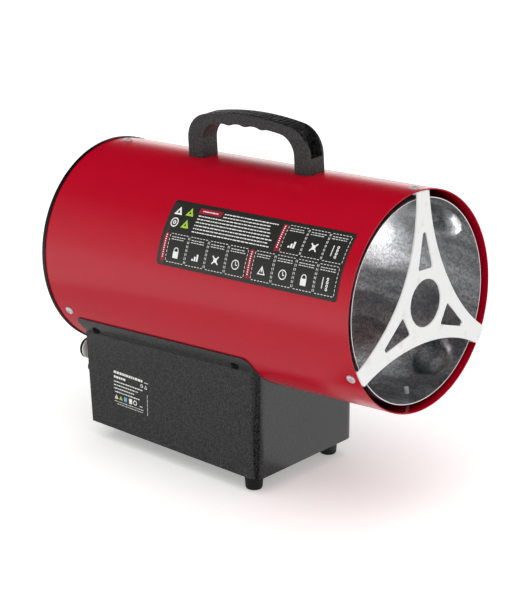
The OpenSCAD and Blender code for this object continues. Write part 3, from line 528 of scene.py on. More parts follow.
def outward(piece):
    """Side on which Solidify has to add the wall: 1 where the faces look away from the casing's axis."""
    face = piece.data.polygons[0]
    centre = np.array(face.center) - ORIGIN
    radial = centre - ahead * (centre @ ahead)
    return 1 if np.dot(radial, face.normal) > 0 else -1


def four_sided(corners):
    """Quads given by their four corners (x, turn), in order around each."""
    return np.asarray(corners, float).reshape(-1, 4, 2)


def bar(x0, x1, turn0, turn1):
    """Rectangle between two distances and two turns."""
    return four_sided([(x0, turn0), (x1, turn0), (x1, turn1), (x0, turn1)])


def disc_ring(x, turn, outer, inner, segments=14):
    """Ring of quads between two circles around a point, radii in mm."""
    circle = arc((0, 0), 1, 0, 360, segments + 1) / (1, DEGREE)
    rim, hole = circle * outer + (x, turn), circle * inner + (x, turn)
    return np.stack([rim[:-1], rim[1:], hole[1:], hole[:-1]], axis=1)


def triangle(x, turn, size, thickness=None):
    """Upright triangle with three sides of size mm, each 0.87 sizes high, or its outline of a thickness."""
    height = size * 0.87 / DEGREE
    foot = turn + height / 2
    tip, left, right = (x, turn - height / 2), (x - size / 2, foot), (x + size / 2, foot)
    if thickness is None:
        return four_sided([tip, tip, right, left])
    middle = np.array((x, turn + height / 6))
    outer = np.array([tip, right, left])
    inner = middle + (outer - middle) * (1 - 2 * 1.73 * thickness / size)
    onwards = [1, 2, 0]
    return np.stack([outer, outer[onwards], inner[onwards], inner], axis=1)


def dashes(start, end, dash=2.3, gap=1.3, width=0.5):
    """Dashed line between two points (x, turn) that differ in x or in turn."""
    start, end = np.array(start, float), np.array(end, float)
    length = np.abs(end[0] - start[0]) + np.abs(end[1] - start[1]) * DEGREE
    count = max(1, int((length + gap) / (dash + gap)))
    first = (np.arange(count) * (dash + gap) + (length + gap - count * (dash + gap)) / 2) / length
    ends = np.stack([first, first + dash / length], axis=-1)[..., None] * (end - start) + start
    half = np.array([0, width / 2 / DEGREE]) if abs(end[0] - start[0]) > 0 else np.array([width / 2, 0])
    return np.stack([ends[:, 0] - half, ends[:, 1] - half, ends[:, 1] + half, ends[:, 0] + half], axis=1)


def frame_of_dashes(x0, x1, turn0, turn1):
    """Dashed lines along the four sides of a rectangle."""
    corners = [(x0, turn0), (x1, turn0), (x1, turn1), (x0, turn1), (x0, turn0)]
    return np.concatenate([dashes(a, b) for a, b in zip(corners, corners[1:])])


def word_bars(chance, x0, x1, turn, height, low=2.2, high=7.5, gap=1.1):
    """Line of short bars, as wide as words, that fills a stretch."""
    widths = chance.uniform(low, high, 40)
    starts = x0 + np.concatenate([[0], np.cumsum(widths + gap)[:-1]])
    fits = starts + widths <= x1
    return np.concatenate([
        bar(a, a + w, turn - height / 2 / DEGREE, turn + height / 2 / DEGREE)
        for a, w in zip(starts[fits], widths[fits])
    ])


def symbol(kind, x, turn):
    """One of six plain signs: clock ring, padlock block, peak, steps, cross of bars, tall bar with dots."""
    size = 9.0
    if kind == 0:
        return [disc_ring(x, turn, size * 0.5, size * 0.5 - 0.9), bar(x - 0.4, x + 0.4, turn - 1.6, turn),
                bar(x, x + 2.2, turn, turn + 0.5)]
    if kind == 1:
        return [bar(x - 3.2, x + 3.2, turn - 0.2, turn + 3.2), disc_ring(x, turn - 0.8, 2.9, 2.0)]
    if kind == 2:
        return [triangle(x, turn, size, 0.9), bar(x - 0.5, x + 0.5, turn - 1.0, turn + 1.0)]
    if kind == 3:
        return [bar(x - 4 + 2.8 * i, x - 2 + 2.8 * i, turn + 1.6 - 1.3 * i, turn + 2.6) for i in range(3)]
    if kind == 4:
        slant = 3.12 / DEGREE
        return [four_sided([(x - 4 * way, turn - slant), (x - 3 * way, turn - slant - 0.5),
                            (x + 4 * way, turn + slant), (x + 3 * way, turn + slant + 0.5)])
                for way in (1, -1)] + [disc_ring(x, turn, 2.2, 0.0, 8)]
    return [bar(x - 3.6, x - 2.7, turn - 3.0, turn + 2.6)] + [
        disc_ring(x + 2, turn - 2.4 + 1.7 * i, 1.4, 0.6, 8) for i in range(4)
    ]


def label_cell(chance, kind, x0, x1, turn0, turn1):
    """Dashed frame with two short lines of bars and one sign under them."""
    lines = [
        word_bars(chance, x0 + 2.5, x1 - 2.5, turn0 + 1.6 + i * 1.2, 0.6, 1.2, 3.6, 0.8) for i in range(2)
    ]
    sign = symbol(kind, (x0 + x1) / 2, (turn0 + 3.6 + turn1) / 2)
    return [frame_of_dashes(x0, x1, turn0, turn1), *lines, *sign]


def label_artwork():
    """All marks of the label as quads (x, turn), by ink, set out in mm from its left edge and in degrees."""
    chance = np.random.default_rng(11)
    top, bottom = label_turns()
    upper, split, lower = top + 2.3, top + 17.6, bottom - 2.2    # the two rows of cells
    icon_x, tab_x = LABEL_X0 + 10, LABEL_X0 + 33
    green = [triangle(icon_x + 13.6, top + turn, 9.5, 1.9) for turn in (5.6, 12.4)]
    light = [
        triangle(icon_x, top + 5.9, 9.5, 1.7), disc_ring(icon_x, top + 12.6, 4.6, 3.5),
        disc_ring(icon_x, top + 12.6, 2.0, 0.9, 8),
    ]
    red = [bar(tab_x, tab_x + 27, top + 2.4, top + 5.4)]
    light.append(word_bars(chance, tab_x + 4, tab_x + 24, top + 3.9, 1.1, 1.4, 2.6, 0.6))
    for line in range(8):
        start = tab_x + 29.5 if line < 2 else tab_x + 1.5 - 0.8 * (line - 2) / 6
        stop = LABEL_X0 + 127.5 - chance.uniform(0, 9)
        light.append(word_bars(chance, start, stop, top + 3.3 + 1.78 * line, 0.95, 1.3, 4.6, 0.75))
    for x, turn0, turn1 in ((132, upper, split - 0.6), (4.2, split + 1.0, lower), (107, split + 1.0, lower)):
        red.append(bar(LABEL_X0 + x, LABEL_X0 + x + 4.6, turn0, turn1))
        for turn in np.arange(turn0 + 1.2, turn1 - 1.2, 1.15):
            light.append(bar(LABEL_X0 + x + 1.6, LABEL_X0 + x + 2.9, turn - 0.4, turn + 0.2))
    for i in range(3):
        x0 = LABEL_X0 + 138.2 + i * 23.8
        light += label_cell(chance, (3, 4, 5)[i], x0, x0 + 22.6, upper, split - 0.6)
    for i in range(4):
        for kinds, left in (((1, 3, 4, 0), 10.6), ((2, 0, 1, 5), 113.4)):
            x0 = LABEL_X0 + left + i * 24.0
            light += label_cell(chance, kinds[i], x0, x0 + 22.4, split + 1.0, lower)
    return {"light": light, "red": red, "green": green}


def printed(name, quads, ink, surface):
    """Thin printed marks, which surface(x, turn, rise) lays at their place.

    Each quad becomes five rows: its left side goes from corner 0 to corner 3 and its right side from 1 to 2.
    A face that looks against the surface's rise is turned round.
    """
    corners, rows = np.concatenate(quads), 5
    down = np.linspace(0, 1, rows)[None, :, None, None]
    marks = corners[:, None, [0, 1]] * (1 - down) + corners[:, None, [3, 2]] * down
    points, lifted = (surface(marks[..., 0], marks[..., 1], rise).reshape(-1, 3) for rise in (0, 1))
    faces = (grid_faces(rows, 2)[None] + (np.arange(len(corners)) * rows * 2)[:, None, None]).reshape(-1, 4)
    a, b, c, d = (points[faces[:, i]] for i in range(4))
    looks_in = (np.cross(c - a, d - b) * (lifted - points)[faces[:, 0]]).sum(axis=1) < 0
    faces[looks_in] = faces[looks_in, ::-1]
    piece = new_piece(name, points, faces, ink)
    tidy(piece, turn_outwards=False)


class HEATER_OT_label(bpy.types.Operator):
    """Build the label on the casing with its printed marks"""

    bl_idname = "heater.label"
    bl_label = "Label"

    def execute(self, context):
        build_label_sheet(vinyl("dark_vinyl", colours().label))
        artwork = label_artwork()
        for name, gap in (("light", 0.09), ("red", 0.05), ("green", 0.05)):    # mm, light lies over red
            def on_label(x, turn, rise, gap=gap):
                return on_casing(x, turn, LABEL_R + gap + rise)

            printed("label_print_" + name, artwork[name], print_ink(name), on_label)
        return {"FINISHED"}


# -------- print on the base

PRINT_X, PRINT_Z = -127, 78    # mm, row frame: the upper left corner of the print


def base_artwork():
    """Marks on the base's side as quads (x in mm, turn), from the print's upper left corner, by ink.

    Bars stand for lines of type, with a row of small signs under them and a thin dashed rule at the right.
    Turns are worked out from mm down the wall, and signs is the height of the row of signs.
    """
    chance = np.random.default_rng(5)
    lines = [    # distance down, left end, right end, height of the bars, widest bar
        (1.3, 0, 38.5, 2.5, 3.6), (6.2, 0, 18.5, 2.3, 3.4), (10.9, 0, 39, 1.1, 3.4), (14.4, 0, 33, 1.1, 3.4),
        (17.9, 0, 29, 1.1, 3.4), (21.4, 1, 36, 1.1, 3.4), (31.2, 0.5, 39, 0.6, 3.0), (33.6, 4, 39, 0.6, 3.0),
    ]
    light = [
        word_bars(chance, x0, x1, down / DEGREE, height, height * 0.7, widest, 0.7)
        for down, x0, x1, height, widest in lines
    ]
    signs = 26.5

    def flat_bar(x0, x1, down0, down1):
        return bar(x0, x1, down0 / DEGREE, down1 / DEGREE)

    light += [
        flat_bar(41, 46, 1.8, 2.4), disc_ring(37.5, 6.4 / DEGREE, 1.8, 1.1, 10),
        triangle(42.8, 6.4 / DEGREE, 4.2, 0.5), triangle(3, signs / DEGREE, 5, 1.0),
        disc_ring(28, signs / DEGREE, 2.6, 1.7, 10), flat_bar(20, 24, signs - 2.6, signs + 2.6),
        flat_bar(34, 38, signs + 1.2, signs + 2), dashes((44.6, 13 / DEGREE), (44.6, 36 / DEGREE), 3.6, 0.7),
    ]
    return {
        "light": light, "green": [triangle(9, signs / DEGREE, 5, 1.3)],
        "blue": [flat_bar(13.2, 17.2, signs - 2.2, signs + 2.2)],
        "red": [flat_bar(0.6, 5.4, signs + 2.9, signs + 3.5)],
    }


class HEATER_OT_base_print(bpy.types.Operator):
    """Print the generic marks on the base's near side"""

    bl_idname = "heater.base_print"
    bl_label = "Print on the base"

    def execute(self, context):
        def on_side(x, turn, rise):
            x, down = np.broadcast_arrays(x, np.asarray(turn) * DEGREE)
            y = np.full(x.shape, BASE_SIDE_Y - 0.05 - rise)
            return np.stack([PRINT_X + x, y, PRINT_Z - down], axis=-1) * MM

        for name, quads in base_artwork().items():
            printed("base_print_" + name, quads, print_ink(name), on_side)
        return {"FINISHED"}


# -------- rear controls


def turned(name, profile, node, material, radius_of=None, segments=96, body="housing"):
    """Closed profile of (x, r) points, from a node's rear face and centre, carried round the node's axis.

    radius_of(x, r, turn) may change each radius with the place and the turn, for threads, ribs or hexagons.
    """
    low, high = axis_box(node)
    turn = np.linspace(0, 2 * np.pi, segments, endpoint=False)[None]
    x, r = (np.array(profile, float)[:, i, None] + 0 * turn for i in (0, 1))
    if radius_of is not None:
        r = radius_of(x, r, turn)
    points = np.stack([low[0] + x, r * np.cos(turn), r * np.sin(turn)], axis=-1)
    points[..., 1:] += ((low + high) / 2)[1:]
    faces = grid_faces(*x.shape, close_rows=True, close_columns=True)
    return tidy(new_piece(name, place(points), faces, material, node=node, body=body), edge_angle=30)


def build_inlet():
    """Gas inlet: bored stub with an outside thread, a hexagon and a shank.

    Thread: the radius falls by up to a depth as x / pitch + turn goes from one crest to the next. Hexagon:
    flat distance over the cosine of the angle from the nearest flat's middle, cut off at the corner radius.
    """
    low, high = axis_box("gas_inlet")
    end, pitch = high[0] - low[0], sizes().thread_pitch / MM
    crest, root, depth = 8.3, 7.3, 0.75    # radii of the thread, and its depth, in mm
    flat, corner = 9.5, 10.75              # radii of the hexagon's flats and corners
    bore, mouth, shank = 2, 4, 6.5         # radii of the hole, of its wider end and of the plain end
    profile = [(end, bore), (9, bore), (9, mouth), (0.6, mouth), (0, mouth + 0.6), (0, root - 0.1)]
    profile += [(x, crest) for x in np.arange(1.0, 12.4, pitch / 8)] + [(12.6, root), (13, root)]
    profile += [(13.02, flat * 0.97), (13.5, flat), (15.6, flat), (16, flat * 0.97)]
    profile += [(16, shank), (end, shank)]

    def shaped(x, r, turn):
        wave = np.abs((x / pitch + turn / (2 * np.pi)) % 1 * 2 - 1)
        threads = crest - depth * wave * np.clip((x - 0.6) / 1.2, 0.5, 1)
        flats = r / np.cos((turn + np.pi / 6) % (np.pi / 3) - np.pi / 6)
        on_hexagon = (x > 13) & (x <= 16) & (r > crest - 0.3)
        return np.where(r == crest, threads, np.where(on_hexagon, np.minimum(flats, corner), r))

    turned("inlet_thread", profile, "gas_inlet", metal("turned_brass", linear("#C79A4B"), 0.25), shaped)


def build_gas_knob():
    """Gas button: dished face, ribbed rim, bright collar behind it and stem.

    The rim's radius dips between 28 rounded ribs, as 1 - |cos(14 turn)| ** 0.6.
    """
    low, high = axis_box("gas_button")
    end, rim, rib_depth = high[0] - low[0], 9.9, 0.55
    face = [(0.9, 0), (0.9, 5), (0.5, 7), (0.1, 8), (0, 8.4), (0.15, 9), (0.8, 9.7)]
    grip = [(1.4, 10), (2.5, 10), (4, 10), (4.7, rim), (5, 9.4)]
    stem = [(5, 3.5), (end, 3.5), (end, 0)]

    def ribbed(x, r, turn):
        return r - np.where(r >= rim, rib_depth * (1 - np.abs(np.cos(14 * turn)) ** 0.6), 0)

    material = moulded_plastic("gloss_black_nylon", linear("#0D0D0D"), 1.0, 0.03, 0.25)
    body = frame["nodes"]["gas_button"]["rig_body"]
    knob = turned("gas_knob", face + grip + stem, "gas_button", material, ribbed, 224, body)
    knob.data.materials.append(metal("satin_chromed_collar", linear("#F4F5F6"), 0.45, metallic=0.2))
    centres = np.array([face.center for face in knob.data.polygons])
    depth = (centres - ORIGIN) @ ahead / MM - low[0]
    on_collar = (depth > 4.3) & (depth < 5.05)    # mm behind the face
    knob.data.polygons.foreach_set("material_index", on_collar.astype(int))


class HEATER_OT_rear_controls(bpy.types.Operator):
    """Build the threaded gas inlet and the ribbed gas button"""

    bl_idname = "heater.rear_controls"
    bl_label = "Rear controls"

    def execute(self, context):
        build_inlet()
        build_gas_knob()
        return {"FINISHED"}


# -------- combustion chamber


def build_chamber():
    """Tube of the chamber's radius, or of a sphere's round each spacing dimple, whichever is further out.

    The two meet softly: the radius is softness * log(exp(tube / softness) + exp(sphere / softness)).
    """
    dimple_r, dimple_x, first_turn = 24.0, FRONT_X - 30.5, -53.5    # mm, mm and degrees
    centre_r = CASING_IN_R - 0.1 - dimple_r
    softness, room = 1.1, 0.7    # mm: a dimple's edge blends over the one, and stays the other off the casing
    fine_x = dimple_x - 21       # from here to the front the grid is fine
    x = np.concatenate([
        np.linspace(CHAMBER_X0, fine_x, 24)[:-1], np.linspace(fine_x, CHAMBER_X1, 70)
    ])
    xs, turns = np.meshgrid(x, np.arange(0, 360, 0.9), indexing="ij")
    radius = np.full(xs.shape, CHAMBER_IN_R)
    for i in range(4):
        away = np.radians(turns - first_turn - i * 90)
        inside = dimple_r ** 2 - (xs - dimple_x) ** 2 - (centre_r * np.sin(away)) ** 2
        bulge = centre_r * np.cos(away) + np.sqrt(np.clip(inside, 0, None))
        bulge = np.where((inside > 0) & (np.cos(away) > 0), bulge, 0)
        radius = softness * np.logaddexp(radius / softness, bulge / softness)
    sheet = on_casing(xs, turns, np.minimum(radius, CASING_IN_R - room))
    faces, zinc = grid_faces(*xs.shape, close_columns=True), galvanised("galvanised_sheet")
    piece = tidy(new_piece("chamber_tube", sheet, faces, zinc, node="combustion_chamber"))
    piece.data.materials.append(metal("bright_cut_zinc_edge", linear("#F4F5F6"), 0.45, metallic=0.3))
    modifier(piece, "SOLIDIFY", thickness=0.8 * MM, offset=outward(piece), material_offset_rim=1)


class HEATER_OT_chamber(bpy.types.Operator):
    """Build the galvanised combustion chamber with its pressed dimples"""

    bl_idname = "heater.chamber"
    bl_label = "Combustion chamber"

    def execute(self, context):
        build_chamber()
        return {"FINISHED"}


# -------- handle


def distances(path):
    """How far along a path each of its points lies: the sum of the steps up to it."""
    return np.concatenate([[0], np.cumsum(np.hypot(*np.diff(path, axis=0).T))])


def evenly(path, count):
    """The same path with points at equal distances along it."""
    run = distances(path)
    at = np.linspace(0, run[-1], count)
    return np.stack([np.interp(at, run, path[:, 0]), np.interp(at, run, path[:, 1])], axis=-1)


def handle_path(wall_x, foot_z, corner_r, arch_r, arch_z):
    """Straight up a wall, round a corner that touches the wall and the arch, over the arch and down again.

    The corner's centre lies a corner's radius from the wall and arch_r - corner_r from the arch's centre.
    Also gives the angle at which corner and arch touch.
    """
    centre_x = wall_x - corner_r
    centre_z = arch_z + np.sqrt((arch_r - corner_r) ** 2 - centre_x ** 2)
    touch = np.degrees(np.arctan2(centre_z - arch_z, centre_x))
    corner = np.concatenate([[(wall_x, foot_z)], arc((centre_x, centre_z), corner_r, 0, touch, 24)])
    corner = evenly(corner, 26)
    bow = arc((0, arch_z), arch_r, touch, 180 - touch, 261)
    return np.concatenate([corner[:-1], bow, corner[-2::-1] * (-1, 1)]), touch


def build_handle():
    """Moulded handle: one closed section carried from foot to foot.

    Three paths in the plane of the handle set it out: the inner face, the side walls' outer edge, and the
    floor of the open channel, which comes up to become the ribbed band along the grip. Each is a foot, a
    shoulder and an arch. The section joins them across the width, and the feet sit on the casing's curve.
    """
    outer_x, half_w, top_z = axis_box("handle")[1]
    inner_x = outer_x - sizes().leg_thickness / MM
    arch_r, grip, rib_depth = 300.0, sizes().grip_thickness / MM, sizes().rib_height / MM
    arch_z, ledge_z = top_z - arch_r, CASING_R + 15    # mm: the arch's centre, and the top of the feet
    # in mm: the side walls' inner face, how far their edge lies under the top, and the floor's thickness
    wall_y, wall_drop, web = 7.4, 0.4, 3.0
    inner, _ = handle_path(inner_x, ledge_z, 19, arch_r - grip, arch_z)
    wall, _ = handle_path(outer_x, ledge_z, 26, arch_r - wall_drop, arch_z)
    floor, floor_touch = handle_path(inner_x + web, ledge_z, 8, arch_r - rib_depth, arch_z)

    # finger rest: narrow ridges between wide hollows
    ridge_pitch, ridge_height, rest_half, rest_x = 20, 1.5, 31, -2
    along = inner[:, 0] - rest_x
    fade = np.clip(1 - (along / rest_half) ** 8, 0, 1)
    inner[:, 1] -= fade * ridge_height * np.abs(np.cos(np.pi * along / ridge_pitch)) ** 3
    # ribs across the band: rounded, a rib height proud, and fading out over 2 mm where the arch begins
    run = distances(floor)
    run -= run[-1] / 2
    on_band = np.clip((arch_r * np.cos(np.radians(floor_touch)) - np.abs(floor[:, 0])) / 2, 0, 1)
    rib = np.sqrt(np.abs(np.cos(np.pi * run / (sizes().rib_pitch / MM))))
    away = floor - (0, arch_z)
    floor += away / np.hypot(*away.T)[:, None] * (rib * rib_depth * on_band)[:, None]

    # section around: inner face, near wall, band or channel floor, far wall
    across = np.linspace(-half_w, half_w, 9)
    band = np.linspace(wall_y, -wall_y, 9)
    section = np.stack([inner] * len(across) + [wall] * 2 + [floor] * len(band) + [wall] * 2, axis=1)
    y = np.concatenate([across, [half_w, wall_y], band, [-wall_y, -half_w]])
    shape = np.stack([section[..., 0], np.broadcast_to(y, section.shape[:2]), section[..., 1]], axis=-1)

    # feet: the section filled out to the wall, from the ledge down to the casing's curve
    def foot(sign):
        filled = shape[0 if sign > 0 else -1].copy()
        filled[len(across):, 0] = sign * outer_x
        down = np.linspace(0, 1, 7)[:, None]
        levels = np.broadcast_to(filled, (len(down), *filled.shape)).copy()
        seat = np.sqrt((CASING_R + 0.1) ** 2 - y ** 2)
        levels[..., 2] = ledge_z + (seat - ledge_z) * down
        return levels

    shape = np.concatenate([foot(1)[::-1], shape, foot(-1)])
    faces = grid_faces(*shape.shape[:2], close_columns=True)
    plastic = moulded_plastic("grained_black_polypropylene", colours().handle)
    piece = new_piece("handle_moulding", place(shape), faces, plastic, node="handle")
    tidy(piece, 50, close_ends=True)
    rounded_edges(piece, 0.4 * MM, 60, clamped=True)


class HEATER_OT_handle(bpy.types.Operator):
    """Build the moulded handle"""

    bl_idname = "heater.handle"
    bl_label = "Handle"

    def execute(self, context):
        build_handle()
        return {"FINISHED"}


# -------- stage

VIEW_AZIMUTH = 41.53    # degrees from the heater's near side towards its outlet
VIEW_ELEVATION = 19.98
VIEW_DISTANCE = 2030.0  # mm
VIEW_TARGET = (-7.9, 15.4, 155.1)   # mm, row frame
LENS = 129.64           # mm, on a 36 mm sensor


def build_camera():
    """Camera at a distance from its target along the direction that azimuth and elevation give."""
    azimuth, elevation = np.radians(VIEW_AZIMUTH), np.radians(VIEW_ELEVATION)
    back = np.array([
        np.sin(azimuth) * np.cos(elevation), -np.cos(azimuth) * np.cos(elevation), np.sin(elevation)
    ])
    data = bpy.data.cameras.new("view")
    data.lens = LENS
    data.sensor_width = 36
    camera = linked("view", data)
    camera.location = (np.array(VIEW_TARGET) + back * VIEW_DISTANCE) * MM
    camera.rotation_euler = (np.pi / 2 - elevation, 0, azimuth)
    bpy.context.scene.camera = camera


def studio(material, reflected, glow, strength):
    """Finish of a studio surface: matt, without gloss, in the colour it reflects and the one it glows in."""
    return finished(
        material, Base_Color=reflected, Roughness=0.9, Specular_IOR_Level=0.0, Emission_Color=glow,
        Emission_Strength=strength,
    )


def stage_mesh(name, points, faces, material, for_reflections=True):
    """A studio surface; one that is there for reflections only shows in nothing but gloss."""
    mesh = bpy.data.meshes.new(name)
    mesh.from_pydata(np.asarray(points, float).tolist(), [], np.asarray(faces).tolist())
    mesh.materials.append(material)
    item = linked(name, mesh)
    for ray in ("camera", "diffuse", "shadow", "transmission"):
        setattr(item, "visible_" + ray, not for_reflections)
    return item


def ring_wall(radius, height, start, end, steps=48):
    """Upright wall on the floor along an arc around the heater: points at a radius, between two angles."""
    rim = arc((0, 0), radius, start, end, steps)
    points = np.concatenate([np.column_stack([rim, np.full(steps, z)]) for z in (0.0, height)])
    return points, grid_faces(2, steps)


def chamber_light(name, location, target, power):
    """Disc of light, 30 mm across, that looks from one point of the axis frame to another."""
    data = bpy.data.lights.new(name, "AREA")
    data.shape = "DISK"
    data.size = 0.03
    data.energy = power
    item = linked(name, data)
    item.location = place(location)
    aim = place(target) - place(location)
    item.rotation_euler = (np.arctan2(np.hypot(*aim[:2]), -aim[2]), 0, np.arctan2(aim[1], aim[0]) - np.pi / 2)


def square(half, height):
    """Corners and the one face of a level square around the origin."""
    return [(x * half, y * half, height) for x, y in ((-1, -1), (1, -1), (1, 1), (-1, 1))], [(0, 1, 2, 3)]


def grey(value):
    """Neutral linear colour of one brightness."""
    return [value, value, value, 1.0]


def table_top(name, rim, inner, outer, glow):
    """Faintly glowing white that reflects one share of light within a rim, in m, and another beyond it; a
    lower share within is painted shade.
    """
    reach = 4.0    # m over which nearness falls from 1 to 0
    material = new_material(name)
    place_on = add(material, "TexCoord").outputs["Object"]
    shrunk = add(material, "Mapping", {"Vector": place_on, "Scale": [1 / reach] * 3}).outputs[0]
    nearness = add(material, "TexGradient", {"Vector": shrunk}, gradient_type="SPHERICAL")
    edge = 1 - rim / reach
    stops = (0.0, grey(outer)), (edge - 0.005, grey(outer)), (edge, grey(inner))
    tint = add(material, "ValToRGB", {"Fac": nearness.outputs["Fac"]}, stops).outputs["Color"]
    return studio(material, tint, grey(1.0), glow)


def glowing_card(name, height, strength, *stops):
    """Card whose light depends on its height above the floor: stops are shares of height and strength."""
    material = new_material(name)
    place_on = add(material, "TexCoord").outputs["Object"]
    parts = add(material, "SeparateXYZ", {"Vector": place_on})
    share = add(material, "Math", {0: parts.outputs["Z"], 1: height}, operation="DIVIDE")
    greys = [(position, grey(value)) for position, value in stops]
    tint = add(material, "ValToRGB", {"Fac": share.outputs[0]}, greys).outputs["Color"]
    return studio(material, grey(0.0), tint, strength)


def fan_card(corner, reach, start, end, steps=16):
    """Level sector of a disc that opens from a corner between two angles, a little above the floor."""
    rim = arc(corner, reach, start, end, steps)
    points = np.column_stack([np.concatenate([[corner], rim]), np.full(steps + 1, 0.001)])
    return points, [(0, i, i + 1) for i in range(1, steps)]


def build_stage():
    """Large pale floor and soft light from all round.

    Reflections see a darker room instead: a table top that is darker near the heater, as painted shade of the
    floor round it, three upright cards that glow most at their foot, a dark flag on the floor that opens from
    the base's near corner and paints shade into that corner's reflection, and a bright sector of floor before
    the outlet. Two small lights shine inside the chamber.
    """
    pale = linear("#F4F4F3")
    floor_white = studio(new_material("pale_floor"), pale, pale, 0.38)
    floor = stage_mesh("floor", *square(30.0, 0.0), floor_white, for_reflections=False)
    floor.visible_glossy = False
    # painted shade: the table top is darker within 0.456 m of the heater, standing for the floor's shade
    # round it
    stage_mesh("table_top", *square(5.0, 0.0005), table_top("table_white", 0.456, 0.16, 0.7, 0.26))

    # painted shade: a black sheet on the floor, seen only in reflections, darkens the base's near corner
    corner = np.array([BASE_HIGH[0] + 1, BASE_SIDE_Y - 1]) * MM
    velvet = studio(new_material("black_velvet"), grey(0.0), grey(0.0), 0.0)
    stage_mesh("corner_flag", *fan_card(corner, 0.36, -87, -8), velvet)
    bright = glowing_card("bright_table", 1.0, 0.86, (0.0, 1.0), (1.0, 1.0))
    stage_mesh("front_table", *fan_card((corner[0] + 0.01, 0), 0.6, -10, 110), bright)

    cards = (    # distance and height in m, first and last angle, strength, and how it falls with height
        ("rear", 3.0, 1.9, 62, 176, 2.1, (0, 1), (0.27, 0.8), (0.45, 0.12), (0.56, 0.02), (0.68, 0)),
        ("near", 3.0, 2.6, 180, 290, 0.86, (0, 1), (0.19, 0.7), (0.64, 0.26), (0.84, 0.03), (0.94, 0)),
        ("outlet", 1.6, 1.5, -50, 50, 1.0, (0, 1), (1, 0.4)),
    )
    for name, radius, height, start, end, strength, *stops in cards:
        glow = glowing_card(name + "_glow", height, strength, *stops)
        stage_mesh(name + "_card", *ring_wall(radius, height, start, end), glow)

    sun = bpy.data.lights.new("overhead", "SUN")
    sun.energy = 1.9
    sun.angle = np.radians(80)
    overhead = linked("overhead", sun)
    overhead.rotation_euler = (np.radians(12), np.radians(10), 0)
    overhead.visible_glossy = False
    chamber_light("inner_glow", (-80, 10, -86), (40, 40, 80), 0.58)
    chamber_light("inner_gleam", (-84, -50, 62), (50, 78, -48), 0.42)

    world = bpy.data.worlds.new("surround")
    bpy.context.scene.world = world
    world.use_nodes = True
    world.cycles_visibility.glossy = False
    backdrop = world.node_tree.nodes["Background"]
    backdrop.inputs["Color"].default_value = linear("#F4F5F6")
    backdrop.inputs["Strength"].default_value = 0.45
    bpy.context.scene.view_settings.view_transform = "Standard"


# -------- operators


class HEATER_OT_casing(bpy.types.Operator):
    """Build the enamelled casing tube"""

    bl_idname = "heater.casing"
    bl_label = "Casing"

    def execute(self, context):
        build_casing()
        return {"FINISHED"}


REPLACED = ("outer_casing", "casing_label", "combustion_chamber", "handle", "gas_inlet", "gas_button")


def finish_of_nodes():
    """One material for each of the record's slots, for the nodes that keep their shape."""
    return {
        "screw_steel": metal("zinc_plated_screws", linear("#ECEDEE"), 0.35, metallic=0.55),
        "guard_paint": heat_paint("light_heat_paint", colours().guard),
        "grille_paint": powder_coat("black_grille_coat", linear("#0D0D0D"), roughness=0.4, ior=1.4),
        "motor_steel": metal("zinc_plated_motor_can", linear("#A9ADB0"), 0.4),
        "lamination_steel": metal("dark_lamination_steel", linear("#55504C"), 0.5),
        "bush_bronze": metal("sintered_bronze", linear("#B08A50"), 0.5, 0.6),
        "shaft_steel": metal("ground_shaft_steel", linear("#D4D5D6"), 0.18),
        "fan_aluminium": metal("pressed_aluminium", linear("#CDD0D2"), 0.38, 2.0),
        "brass": metal("turned_brass", linear("#C79A4B"), 0.25),
        "bracket_steel": metal("bracket_sheet_steel", linear("#9EA3A6"), 0.42, 3.0),
        "burner_steel": metal("heat_tinted_burner_steel", linear("#8A8078"), 0.45, 6.0, 0.04, 0.3),
        "copper": metal("drawn_copper_tube", linear("#B8714B"), 0.3),
        "ceramic": glazed_ceramic("glazed_ceramic", linear("#EFECE2")),
        "lead_rubber": rubber("red_silicone_sleeve", linear("#8E1216")),
        "black_plastic": moulded_plastic("black_nylon", linear("#0E0E0E"), 1.0, 0.05, 0.35),
        "base_paint": powder_coat("charcoal_powder_coat", colours().base),
        "floor_steel": powder_coat("charcoal_floor_coat", linear("#202020")),
        "black_screw": metal("black_oxide_screws", linear("#2B2B2C"), 0.35),
        "foot_rubber": rubber("black_rubber", linear("#0B0B0B")),
        "nickel": metal("nickel_plate", linear("#D8D4C8"), 0.15),
        "light_plastic": moulded_plastic("light_nylon", linear("#E4E1D6"), 1.0, 0.04, 0.4),
        "red_plastic": moulded_plastic("red_nylon", linear("#9A0E12"), 1.0, 0.04, 0.3),
    }


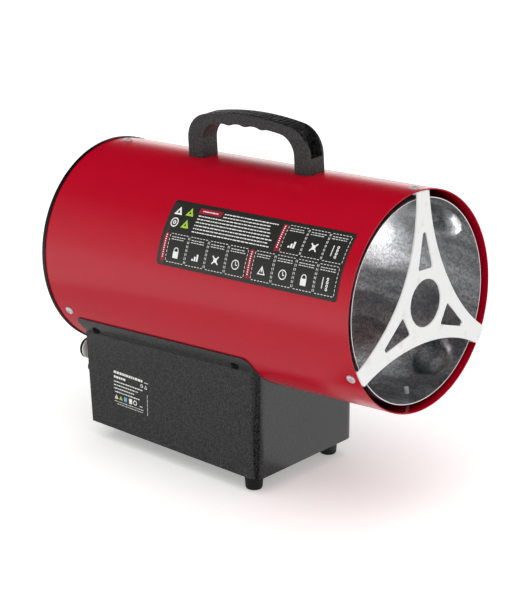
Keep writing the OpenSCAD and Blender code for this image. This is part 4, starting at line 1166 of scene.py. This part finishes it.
class HEATER_OT_carried(bpy.types.Operator):
    """Finish the CAD nodes that keep their shape"""

    bl_idname = "heater.carried"
    bl_label = "Carried nodes"

    def execute(self, context):
        finishes = finish_of_nodes()
        for node in sorted(frame["nodes"]):
            if node not in REPLACED:
                copied(node, finishes[slot_of(node)])
        return {"FINISHED"}


class HEATER_OT_stage(bpy.types.Operator):
    """Set up the camera, the floor and the light"""

    bl_idname = "heater.stage"
    bl_label = "Stage"

    def execute(self, context):
        build_camera()
        build_stage()
        return {"FINISHED"}


OPERATORS = (
    HEATER_OT_stage, HEATER_OT_casing, HEATER_OT_label, HEATER_OT_base_print, HEATER_OT_chamber,
    HEATER_OT_handle, HEATER_OT_rear_controls, HEATER_OT_carried,
)


class HEATER_PT_panel(bpy.types.Panel):
    """Lists the heater's colours, sizes and build steps"""

    bl_label = "Propane heater"
    bl_idname = "HEATER_PT_panel"
    bl_space_type = "VIEW_3D"
    bl_region_type = "UI"
    bl_category = "Heater"

    def draw(self, context):
        for group in (colours(), sizes()):
            for key in group.bl_rna.properties.keys():
                if key not in ("rna_type", "name"):
                    self.layout.prop(group, key)
        for operator in OPERATORS:
            self.layout.operator(operator.bl_idname)


GROUPS = (HeaterColours, HeaterSizes)


def register():
    for kind in GROUPS + OPERATORS + (HEATER_PT_panel,):
        bpy.utils.register_class(kind)
    bpy.types.Scene.heater_colours = bpy.props.PointerProperty(type=HeaterColours)
    bpy.types.Scene.heater_sizes = bpy.props.PointerProperty(type=HeaterSizes)


def unregister():
    del bpy.types.Scene.heater_sizes
    del bpy.types.Scene.heater_colours
    for kind in reversed(GROUPS + OPERATORS + (HEATER_PT_panel,)):
        bpy.utils.unregister_class(kind)


def main():
    register()
    bpy.ops.heater.stage()
    bpy.ops.heater.casing()
    bpy.ops.heater.label()
    bpy.ops.heater.base_print()
    bpy.ops.heater.chamber()
    bpy.ops.heater.handle()
    bpy.ops.heater.rear_controls()
    bpy.ops.heater.carried()


if __name__ == "__main__":
    main()
